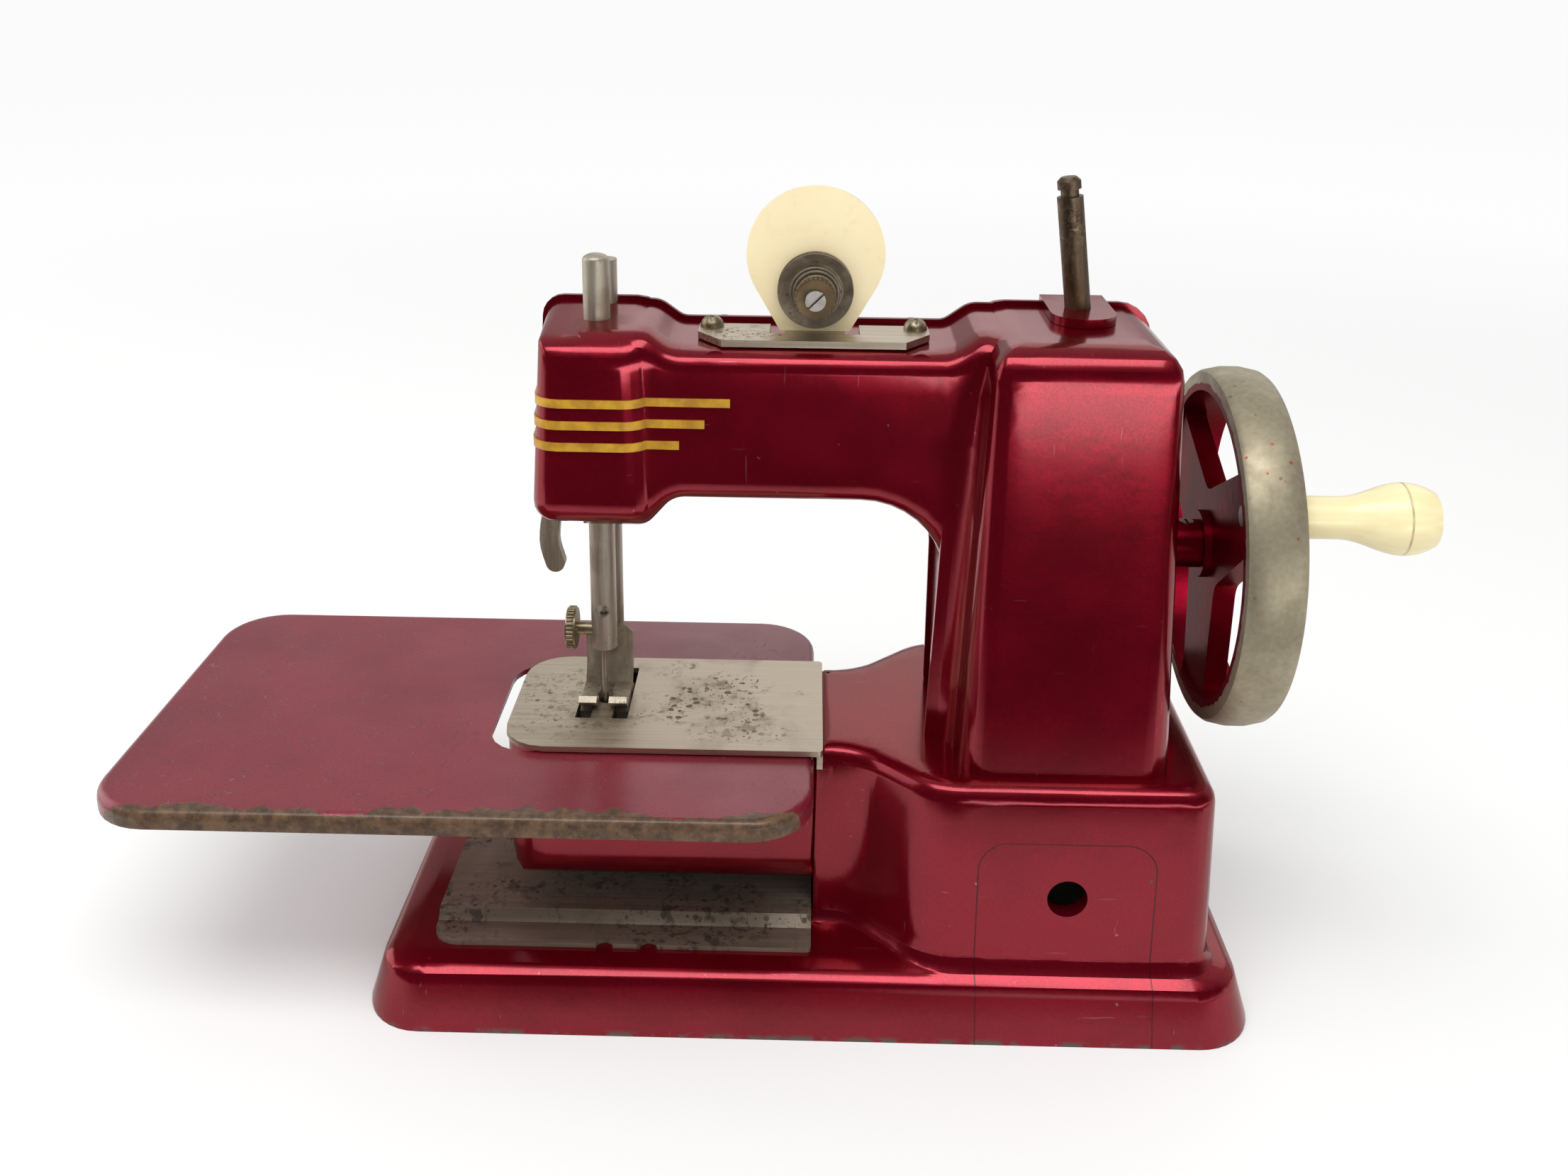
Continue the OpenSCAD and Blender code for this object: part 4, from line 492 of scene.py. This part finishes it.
def steelFinish(name, s):
    made, tree, shader = newFinish(name, Metallic=s["metal"])
    lines = noise(tree, s["lineScale"], stretch=s["lineWay"], **s["lineKind"])
    colour = mixColours(tree, ramp(tree, lines, *middleBand), s["dark"], s["light"])
    stainBand = (s["stainFrom"], s["stainFrom"] + s["stainWidth"])
    stains = patches(tree, stainBand, scale=s["stainScale"], **s["stainKind"])
    stains = times(tree, stains, s["stainShare"])
    colour = mixColours(tree, stains, colour, s["stain"])
    if s["pitPlaces"]:
        zones = pitPatches(tree, s["pitPlaces"], pitEdge)
    else:
        zones = patches(tree, (s["pitFrom"], s["pitFrom"] + s["pitWidth"]), **s["pitZones"])
    coarse = spots(tree, s["pitScale"], *s["coarsePits"], warp=s["pitWarp"])
    fine = spots(tree, s["pitScale"] * s["fineScale"], *s["finePits"], warp=s["pitWarp"])
    pits = times(tree, larger(tree, coarse, fine), zones)
    rust = patches(tree, s["rustBand"], scale=s["pitScale"] * s["rustScale"], **s["rustKind"])
    rust = times(tree, rust, times(tree, zones, s["rustShare"]))
    colour = mixColours(tree, rust, colour, s["rust"])
    colour = mixColours(tree, times(tree, pits, s["pitShare"]), colour, s["pit"])
    smoothest, roughest = (s["rough"] + off for off in s["roughSpread"])
    rough = ramp(tree, lines, *s["roughBand"], smoothest, roughest)
    rough = plus(tree, rough, times(tree, larger(tree, pits, stains), s["stainedRough"]))
    normal = bump(tree, lines, *s["lineBump"])
    normal = bump(tree, inverse(tree, pits), *s["pitBump"], normal)
    setSurface(tree, shader, colour, rough, normal)
    return made


# hand wheel: dull grey cast rim, ruby inside it and on the spokes
wheelLook = {
    "axisHeight": 91.5,
    "border": 33.4,
    "borderSoft": 0.15,
    "borderSway": {"scale": 320.0, "detail": 4.0, "sway": 2.2},
    "grey": (0.44, 0.385, 0.27),
    "greyDark": (0.31, 0.268, 0.185),
    "smudge": {"scale": 130.0, "detail": 5.0, "rough": 0.62, "band": (0.25, 0.78)},
    "grain": {"scale": 900.0, "detail": 2.0},
    "grainShare": 0.4,
    "speck": (0.13, 0.105, 0.070),
    "specks": (520.0, 0.30, 0.10),
    "speckShare": 0.55,
    "fleck": (0.46, 0.07, 0.03),
    "flecks": (640.0, 0.32, 0.20),
    "fleckZones": {"scale": 45.0, "detail": 2.0, "band": (0.50, 0.60)},
    "fleckEdge": (92.5, 90.9),  # red flecks stay near the rim's inner edge
    "red": (0.250, 0.0034, 0.016),
    "redDark": (0.120, 0.0014, 0.007),
    "redEdge": (0.30, 0.03, 0.06),  # gloss at a low angle keeps the red
    "redCloud": {"scale": 60.0, "detail": 4.0},
    "chips": (150.0, 0.12, 0.12),
    "plainTint": (1.0, 1.0, 1.0),
    "metal": (0.72, 0.75),  # on the red and on the rim
    "rimRough": (0.56, 0.44),
    "redRough": 0.27,
    "peel": {"scale": 500.0, "detail": 3.0},
    "peelBump": (0.10, 0.4),
}


def wheelFinish(name, s):
    made, tree, shader = newFinish(name)
    y, z = axisValue(tree, "Y"), axisValue(tree, "Z")
    rise = minus(tree, z, s["axisHeight"] * mm)
    radius = plus(tree, away(tree, y, rise), swayed(tree, **s["borderSway"]))
    inner, outer = s["border"] - s["borderSoft"], s["border"] + s["borderSoft"]
    rim = ramp(tree, radius, inner * mm, outer * mm)
    smudge = patches(tree, **s["smudge"])
    grain = patches(tree, **s["grain"])
    grey = mixColours(tree, blended(tree, smudge, grain, s["grainShare"]), s["greyDark"], s["grey"])
    specks = times(tree, spots(tree, *s["specks"]), s["speckShare"])
    grey = mixColours(tree, specks, grey, s["speck"])
    fleckFrom, fleckFull = s["fleckEdge"]
    side = ramp(tree, axisValue(tree, "X"), fleckFrom * mm, fleckFull * mm)
    flecks = spots(tree, *s["flecks"])
    flecks = times(tree, flecks, times(tree, side, patches(tree, **s["fleckZones"])))
    grey = mixColours(tree, flecks, grey, s["fleck"])
    red = mixColours(tree, patches(tree, **s["redCloud"]), s["redDark"], s["red"])
    red = mixColours(tree, spots(tree, *s["chips"]), red, s["greyDark"])
    colour = mixColours(tree, rim, red, grey)
    tint = mixColours(tree, rim, s["redEdge"], s["plainTint"])
    tree.links.new(tint, shader.inputs["Specular Tint"])
    tree.links.new(ramp(tree, rim, 0.0, 1.0, *s["metal"]), shader.inputs["Metallic"])
    rimRough = ramp(tree, smudge, 0.0, 1.0, *s["rimRough"])
    rough = plus(tree, times(tree, rim, rimRough), times(tree, inverse(tree, rim), s["redRough"]))
    normal = bump(tree, noise(tree, **s["peel"]), *s["peelBump"])
    setSurface(tree, shader, colour, rough, normal)
    return made


# aged cream plastic: fine lengthwise grain, a few dark specks and handling dirt
ivoryLook = {
    "light": (0.87, 0.785, 0.47),
    "shade": (0.83, 0.715, 0.40),
    "dirt": (0.40, 0.26, 0.12),
    "depth": 0.08,
    "depthReach": (0.004, 0.0025, 0.0012),
    "coat": 0.25,
    "coatRough": 0.15,
    "grainWay": (0.35, 9.0, 9.0),
    "grainScale": 55.0,
    "grainKind": {"detail": 4.0, "rough": 0.6},
    "grainBump": (0.06, 0.3),
    "smears": {"scale": 80.0, "detail": 5.0, "rough": 0.6, "band": (0.60, 0.78)},
    "smearShare": 0.22,
    "specks": (160.0, 0.10, 0.06),
    "speckShare": 0.8,
    "rough": 0.34,
    "roughSpread": (-0.06, 0.08),
    "roughPatches": {"scale": 120.0, "detail": 3.0},
    "ring": None,
    "ringBand": (0.22, 0.08),
    "ringDarkPatches": {"scale": 150.0, "detail": 3.0, "band": (0.35, 0.65), "to": (0.25, 0.85)},
    "ringBump": (0.8, 0.3),
}
handleLook = dict(ivoryLook, ring=110.8)  # turned groove near the handle's end, drawn as a darker line in patches along it
discLook = dict(
    ivoryLook, light=(0.90, 0.775, 0.50), shade=(0.83, 0.69, 0.42), grainWay=(1.0, 1.0, 1.0),
    grainScale=30.0, rough=0.30)


def ivoryFinish(name, s):
    made, tree, shader = newFinish(
        name, Subsurface_Weight=s["depth"], Subsurface_Radius=s["depthReach"], Coat_Weight=s["coat"],
        Coat_Roughness=s["coatRough"])
    grain = noise(tree, s["grainScale"], stretch=s["grainWay"], **s["grainKind"])
    colour = mixColours(tree, ramp(tree, grain, *middleBand), s["shade"], s["light"])
    smears = times(tree, patches(tree, **s["smears"]), s["smearShare"])
    colour = mixColours(tree, smears, colour, s["dirt"])
    specks = times(tree, spots(tree, *s["specks"]), s["speckShare"])
    colour = mixColours(tree, specks, colour, s["dirt"])
    roughLimits = [s["rough"] + off for off in s["roughSpread"]]
    rough = patches(tree, to=roughLimits, **s["roughPatches"])
    normal = bump(tree, grain, *s["grainBump"])
    if s["ring"]:
        outer, inner = s["ringBand"]
        ring = ramp(tree, offFrom(tree, axisValue(tree, "X"), s["ring"] * mm), outer * mm, inner * mm)
        # the groove line is mixed toward the darker colour, in patches along it
        colour = mixColours(tree, times(tree, ring, patches(tree, **s["ringDarkPatches"])), colour, s["dirt"])
        normal = bump(tree, inverse(tree, ring), *s["ringBump"], normal)
    setSurface(tree, shader, colour, rough, normal)
    return made


# gold paint on the raised lines, chipped here and there
goldLook = {
    "light": (0.66, 0.37, 0.022),
    "shade": (0.42, 0.20, 0.012),
    "metal": 0.25,
    "coat": 0.3,
    "coatRough": 0.2,
    "cloud": {"scale": 260.0, "detail": 4.0},
    "chip": (0.045, 0.016, 0.010),
    "chipSpots": ((210.0, 0.20, 0.14), (700.0, 0.28, 0.12)),
    "chipBump": (0.4, 0.15),
    "rough": {"scale": 300.0, "detail": 3.0, "to": (0.36, 0.52)},
}


def goldFinish(name, s):
    made, tree, shader = newFinish(
        name, Metallic=s["metal"], Coat_Weight=s["coat"], Coat_Roughness=s["coatRough"])
    colour = mixColours(tree, patches(tree, **s["cloud"]), s["shade"], s["light"])
    large, small = s["chipSpots"]
    chips = larger(tree, spots(tree, *large), spots(tree, *small))
    colour = mixColours(tree, chips, colour, s["chip"])
    rough = patches(tree, **s["rough"])
    normal = bump(tree, inverse(tree, chips), *s["chipBump"])
    setSurface(tree, shader, colour, rough, normal)
    return made


rubyBody = rubyLacquer("rubyLacquer", rubyLook)
rubyBase = rubyLacquer("rubyLacquerBase", rubyLook, panel=True)
tableRed = tableLacquer("tableLacquer", tableLook)
plateSteel = steelFinish("needlePlateSteel", dict(plateSteelLook, pitPlaces=platePits))
coverSteel = steelFinish("coverPlateSteel", coverSteelLook)
bracketSteel = steelFinish("bracketSteel", bracketSteelLook)
barSteel = steelFinish("barSteel", barSteelLook)
footSteel = steelFinish("presserFootSteel", footSteelLook)
lifterSteel = steelFinish("lifterSteel", lifterLook)
screwSteel = steelFinish("screwSteel", screwSteelLook)
tarnished = steelFinish("tarnishedSteel", tarnishedLook)
nutBrown = steelFinish("nutBrown", nutLook)
studSteel = steelFinish("studSteel", studLook)
spoolBrown = steelFinish("spoolPinBrown", spoolLook)
dullBrass = steelFinish("dullBrass", brassLook)
wheelCast = wheelFinish("wheelCasting", wheelLook)
handleIvory = ivoryFinish("handleIvory", handleLook)
discIvory = ivoryFinish("discIvory", discLook)
goldPaint = goldFinish("goldPaint", goldLook)
print("finishes made")


# which finish each solid carries
carriedBy = (
    (rubyBase, ("base_casting",)),
    (rubyBody, ("free_arm", "front_casing", "rear_casing")),
    (tableRed, ("extension_table",)),
    (plateSteel, ("needle_plate",)),
    (coverSteel, ("base_cover_plate",)),
    (bracketSteel, ("tension_bracket",)),
    (barSteel, ("needle_bar", "presser_bar")),
    (footSteel, ("presser_foot",)),
    (lifterSteel, ("presser_lifter",)),
    (studSteel, ("tension_stud",)),
    (nutBrown, ("tension_nut",)),
    (spoolBrown, ("spool_pin",)),
    (discIvory, ("thread_guide",)),
    (handleIvory, ("crank_handle",)),
    (wheelCast, ("hand_wheel",)),
    (goldPaint, ("gold_stripes",)),
    (tarnished, ("tension_washers", "tension_spring", "rocker_beam", "presser_collar", "feed_dog")),
    (dullBrass, ("bracket_screws", "shaft_bush", "drive_gear", "idler_gear", "needle_screw", "looper_gear",
                 "looper_bushes")),
    (screwSteel, ("handle_pin", "wheel_screw", "main_shaft", "crank_disc", "idler_pin", "rocker_pin",
                  "needle", "presser_screw", "presser_spring", "lifter_pin", "looper_shaft", "looper",
                  "free_arm_screws", "casing_screws", "body_screws")),
)
finishes = {node: finish for finish, held in carriedBy for node in held}
for name, finish in finishes.items():
    solid = nodes[name]
    solid.data.materials.clear()
    solid.data.materials.append(finish)
print("finishes laid on", len(finishes), "solids")


bodyOf = {name: body for body, held in frame["record"]["behaviour"]["bodies"].items() for name in held}


def newPiece(shape, name, finish, node):
    mesh = bpy.data.meshes.new(name)
    shape.to_mesh(mesh)
    shape.free()
    mesh.materials.append(finish)
    piece = bpy.data.objects.new(name, mesh)
    bpy.context.collection.objects.link(piece)
    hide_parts(node)
    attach(piece, bodyOf[node])
    return piece


# rounded solids reach the frame in facets, so a copy of each is shaded smooth across its fillets
rounded = {
    "names": ("extension_table", "presser_lifter", "presser_foot", "hand_wheel", "crank_handle", "needle_bar",
              "spool_pin", "thread_guide", "gold_stripes", "needle_plate", "base_cover_plate"),
    "weld": 0.004 * mm,
    "sharpAngle": math.radians(42.0),
}


def weldedCopy(node, s):
    shape = bmesh.new()
    shape.from_mesh(nodes[node].data)
    bmesh.ops.remove_doubles(shape, verts=shape.verts, dist=s["weld"])
    for face in shape.faces:
        face.smooth = True
    return shape


def smoothCopy(node, s):
    shape = weldedCopy(node, s)
    for edge in shape.edges:
        edge.smooth = len(edge.link_faces) == 2 and edge.calc_face_angle(0.0) < s["sharpAngle"]
    piece = newPiece(shape, "smooth." + node, finishes[node], node)
    weights = piece.modifiers.new("faceWeights", "WEIGHTED_NORMAL")
    weights.keep_sharp = True
    return piece


for name in rounded["names"]:
    smoothCopy(name, rounded)
print("smooth copies made:", len(rounded["names"]))


# the lacquered castings have soft corners: each corner's shading is averaged over the faces near it
castings = {
    "reach": {"front_casing": 4.2, "rear_casing": 2.6, "free_arm": 3.4, "base_casting": 3.0},
    "grid": 4.5,  # flat faces are cut along planes this far apart
    "weld": 0.004 * mm,
    "cutSnap": 1e-7,
    "flatCosine": 0.9998,  # faces turned less than this count as one flat
    "ownFaces": 0.5,  # a point's own faces count as this share of the reach away
    "tiny": 1e-12,
}


def cutInGrid(shape, s):
    grid = s["grid"] * mm
    for axis in range(3):
        places = [vert.co[axis] for vert in shape.verts]
        way = [0.0, 0.0, 0.0]
        way[axis] = 1.0
        for step in range(math.floor(min(places) / grid) + 1, math.ceil(max(places) / grid)):
            whole = shape.verts[:] + shape.edges[:] + shape.faces[:]
            middle = [step * grid if other == axis else 0.0 for other in range(3)]
            bmesh.ops.bisect_plane(shape, geom=whole, dist=s["cutSnap"], plane_co=middle, plane_no=way)
    bmesh.ops.triangulate(shape, faces=shape.faces)


def isBent(vert, s):
    first = vert.link_faces[0].normal
    return any(first.dot(face.normal) < s["flatCosine"] for face in vert.link_faces)


def softCopy(node, s):
    shape = weldedCopy(node, s)
    cutInGrid(shape, s)
    shape.faces.ensure_lookup_table()
    reach = s["reach"][node] * mm
    ways = np.array([face.normal for face in shape.faces])
    areas = np.array([face.calc_area() for face in shape.faces])
    tree = KDTree(len(shape.faces))
    for face in shape.faces:
        tree.insert(face.calc_center_median(), face.index)
    tree.balance()
    bends = [vert for vert in shape.verts if isBent(vert, s)]
    bendTree = KDTree(len(bends))
    for index, vert in enumerate(bends):
        bendTree.insert(vert.co, index)
    bendTree.balance()
    nearby = {}
    for vert in shape.verts:
        if bendTree.find(vert.co)[2] > reach:
            continue  # amid a flat face
        near = tree.find_range(vert.co, reach)
        picked = np.array([index for place, index, off in near] + [face.index for face in vert.link_faces])
        own = [s["ownFaces"] * reach] * len(vert.link_faces)
        offs = np.array([off for place, index, off in near] + own)
        nearby[vert] = ways[picked], areas[picked] * (1.0 - (offs / reach) ** 2) ** 2
    corners = []
    for face in shape.faces:
        for vert in face.verts:
            if vert not in nearby:
                corners.append(ways[face.index])
                continue
            around, weight = nearby[vert]
            alike = np.clip(around @ ways[face.index], 0.0, None) ** 2  # faces round a hard edge stay out
            total = ((weight * alike)[:, None] * around).sum(axis=0)
            corners.append(total / max(np.linalg.norm(total), s["tiny"]))
    print(node, "split into", len(shape.faces), "faces,", len(nearby), "soft points")
    piece = newPiece(shape, "soft." + node, finishes[node], node)
    piece.data.normals_split_custom_set(corners)
    return piece


for name in castings["reach"]:
    softCopy(name, castings)
print("soft castings made:", len(castings["reach"]))


# both springs: a round wire swept along its coil, with dead turns at the ends;
# each stop gives the height along the axis, the coil's radius and the turns so far
tensionCoil = {
    "middle": (-0.7, 0.0, 144.7),
    "along": (0.0, -1.0, 0.0),
    "wire": 0.7,
    "stops": ((4.65, 4.9, 0.0), (4.75, 4.85, 0.5), (7.2, 3.4, 2.6), (7.3, 3.35, 3.1)),
}
presserCoil = {
    "middle": (-44.5, 11.5, 0.0),
    "along": (0.0, 0.0, 1.0),
    "wire": 0.7,
    "stops": ((118.2, 3.75, 0.0), (118.75, 3.75, 1.0), (132.85, 3.75, 9.0), (133.4, 3.75, 10.0)),
}
coilSteps = 40  # points in a turn
wireSides = 10


def coilPath(s):
    along = Vector(s["along"])
    first = Vector((1.0, 0.0, 0.0))
    second = Vector((0.0, 0.0, 1.0)) if abs(along.y) > 0.5 else Vector((0.0, 1.0, 0.0))
    points = []
    for (lowH, lowR, lowT), (highH, highR, highT) in zip(s["stops"], s["stops"][1:]):
        count = max(2, round((highT - lowT) * coilSteps))
        for step in range(count):
            share = step / count
            turn = (lowT + (highT - lowT) * share) * 2 * math.pi
            radius = lowR + (highR - lowR) * share
            height = lowH + (highH - lowH) * share
            out = first * math.cos(turn) + second * math.sin(turn)
            points.append((Vector(s["middle"]) + along * height + out * radius, out))
    return points


def sweptWire(s):
    along = Vector(s["along"])
    half = s["wire"] / 2
    shape = bmesh.new()
    rings = []
    for place, out in coilPath(s):
        ring = []
        for side in range(wireSides):
            angle = 2 * math.pi * side / wireSides
            onRing = place + out * half * math.cos(angle) + along * half * math.sin(angle)
            ring.append(shape.verts.new(onRing * mm))
        rings.append(ring)
    for before, after in zip(rings, rings[1:]):
        for side in range(wireSides):
            other = (side + 1) % wireSides
            shape.faces.new((before[side], before[other], after[other], after[side]))
    shape.faces.new(rings[0])
    shape.faces.new(rings[-1][::-1])
    bmesh.ops.recalc_face_normals(shape, faces=shape.faces)
    for face in shape.faces:
        face.smooth = True
    return shape


newPiece(sweptWire(tensionCoil), "tensionCoil", tarnished, "tension_spring")
presserPiece = newPiece(sweptWire(presserCoil), "presserCoil", screwSteel, "presser_spring")
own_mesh(presserPiece)
print("springs wound")


# plain studio: pale floor, a wide soft light overhead, a pale side panel, dim front
studio = {
    "floorSize": 30.0,
    "floorColour": (0.90, 0.90, 0.895),
    "paleNear": 0.12,  # how much of what the camera sees of the floor is plain white, near and far
    "paleFar": 0.92,
    "farFrom": (0.32, 1.1),
    "glossEdge": (-0.17, -0.085),  # seen in gloss, the pale floor ends here
    "glossDim": (0.030, 0.026, 0.026),
    "glossPatch": ((0.075, 0.10), (-0.50, -0.55)),  # a pale sheet in front, that only gloss shows
    "patchLevel": 5.0,
    "underBase": (84.0, 30.0),  # no white under the hollow base
    "underSoft": 2.0,
    "worldPale": (0.93, 0.935, 0.93),
    "worldBand": (-0.8, 0.6),
    "worldLevels": (1.0, 0.45),  # soft light from the front and from the back
    "glossFront": (-0.45, 0.35, 0.05, 1.0),  # what gloss shows of the air, front to back and at the top
    "glossTop": (0.45, 0.95, 0.0, 0.7),
    "glossLevel": 0.55,
    "lights": (
        ("overhead", (-0.05, -0.38, 0.95), (0.9, 0.42), 5.6),
        ("leftPanel", (-1.25, 0.25, 0.55), (1.2, 1.0), 5.6),
        ("backPanel", (0.45, 1.3, 0.9), (1.6, 0.9), 3.2),
    ),
    "aim": (0.0, 0.0, 0.08),
}


def addFloor(s):
    shape = bmesh.new()
    bmesh.ops.create_grid(shape, x_segments=1, y_segments=1, size=s["floorSize"] / 2)
    mesh = bpy.data.meshes.new("paleFloor")
    shape.to_mesh(mesh)
    shape.free()
    floor = bpy.data.objects.new("paleFloor", mesh)
    bpy.context.collection.objects.link(floor)
    made = bpy.data.materials.new("paleFloor")
    made.use_nodes = True
    tree = made.node_tree
    tree.nodes.remove(tree.nodes["Principled BSDF"])
    output = tree.nodes["Material Output"]
    rays = addNode(tree, "ShaderNodeLightPath")
    x, y = axisValue(tree, "X"), axisValue(tree, "Y")
    lit = addNode(tree, "ShaderNodeBsdfDiffuse", {"Color": (*s["floorColour"], 1.0)})
    white = addNode(tree, "ShaderNodeEmission", {"Color": (1.0, 1.0, 1.0, 1.0), "Strength": 1.0})
    dim = addNode(tree, "ShaderNodeEmission", {"Color": (*s["glossDim"], 1.0), "Strength": 1.0})
    seen = larger(tree, rays.outputs["Is Camera Ray"], rays.outputs["Is Transmission Ray"])
    share = ramp(tree, away(tree, x, y), *s["farFrom"], s["paleNear"], s["paleFar"])
    wide, deep = s["underBase"]
    offX = minus(tree, maths(tree, "ABSOLUTE", x), wide * mm)
    offY = minus(tree, maths(tree, "ABSOLUTE", y), deep * mm)
    outside = ramp(tree, larger(tree, offX, offY), -s["underSoft"] * mm, 0.0)
    share = times(tree, share, outside)
    pale = addNode(tree, "ShaderNodeMixShader", {
        0: times(tree, seen, share), 1: lit.outputs[0], 2: white.outputs[0]})
    front = ramp(tree, y, s["glossEdge"][1], s["glossEdge"][0])
    (patchX, patchXEnd), (patchY, patchYEnd) = s["glossPatch"]
    patch = times(tree, ramp(tree, x, patchX, patchXEnd), ramp(tree, y, patchY, patchYEnd))
    gone = times(tree, front, rays.outputs["Is Glossy Ray"])
    sheet = addNode(tree, "ShaderNodeEmission", {"Color": (1.0, 1.0, 1.0, 1.0), "Strength": s["patchLevel"]})
    glossy = addNode(tree, "ShaderNodeMixShader", {0: patch, 1: dim.outputs[0], 2: sheet.outputs[0]})
    whole = addNode(tree, "ShaderNodeMixShader", {0: gone, 1: pale.outputs[0], 2: glossy.outputs[0]})
    tree.links.new(whole.outputs[0], output.inputs["Surface"])
    mesh.materials.append(made)


def addWorld(s):
    world = bpy.data.worlds.new("studioAir")
    bpy.context.scene.world = world
    world.use_nodes = True
    tree = world.node_tree
    back = tree.nodes["Background"]
    coords = addNode(tree, "ShaderNodeTexCoord")
    split = addNode(tree, "ShaderNodeSeparateXYZ", {"Vector": coords.outputs["Generated"]})
    rays = addNode(tree, "ShaderNodeLightPath")
    fromFront = ramp(tree, split.outputs["Y"], *s["glossFront"])
    overhead = ramp(tree, split.outputs["Z"], *s["glossTop"])
    level = times(tree, larger(tree, fromFront, overhead), s["glossLevel"])
    diffuse = ramp(tree, split.outputs["Y"], *s["worldBand"], *s["worldLevels"])
    isGloss = rays.outputs["Is Glossy Ray"]
    soft = plus(tree, times(tree, isGloss, level), times(tree, inverse(tree, isGloss), diffuse))
    isSeen = larger(tree, rays.outputs["Is Camera Ray"], rays.outputs["Is Transmission Ray"])
    strength = plus(tree, isSeen, times(tree, inverse(tree, isSeen), soft))
    back.inputs["Color"].default_value = (*s["worldPale"], 1.0)
    tree.links.new(strength, back.inputs["Strength"])


def addLights(s):
    for name, place, size, power in s["lights"]:
        data = bpy.data.lights.new(name, "AREA")
        data.shape = "RECTANGLE"
        data.size, data.size_y = size
        data.energy = power
        lamp = bpy.data.objects.new(name, data)
        bpy.context.collection.objects.link(lamp)
        lamp.location = place
        lamp.rotation_euler = (Vector(s["aim"]) - Vector(place)).to_track_quat("-Z", "Y").to_euler()


addFloor(studio)
addWorld(studio)
addLights(studio)
print("studio lit")
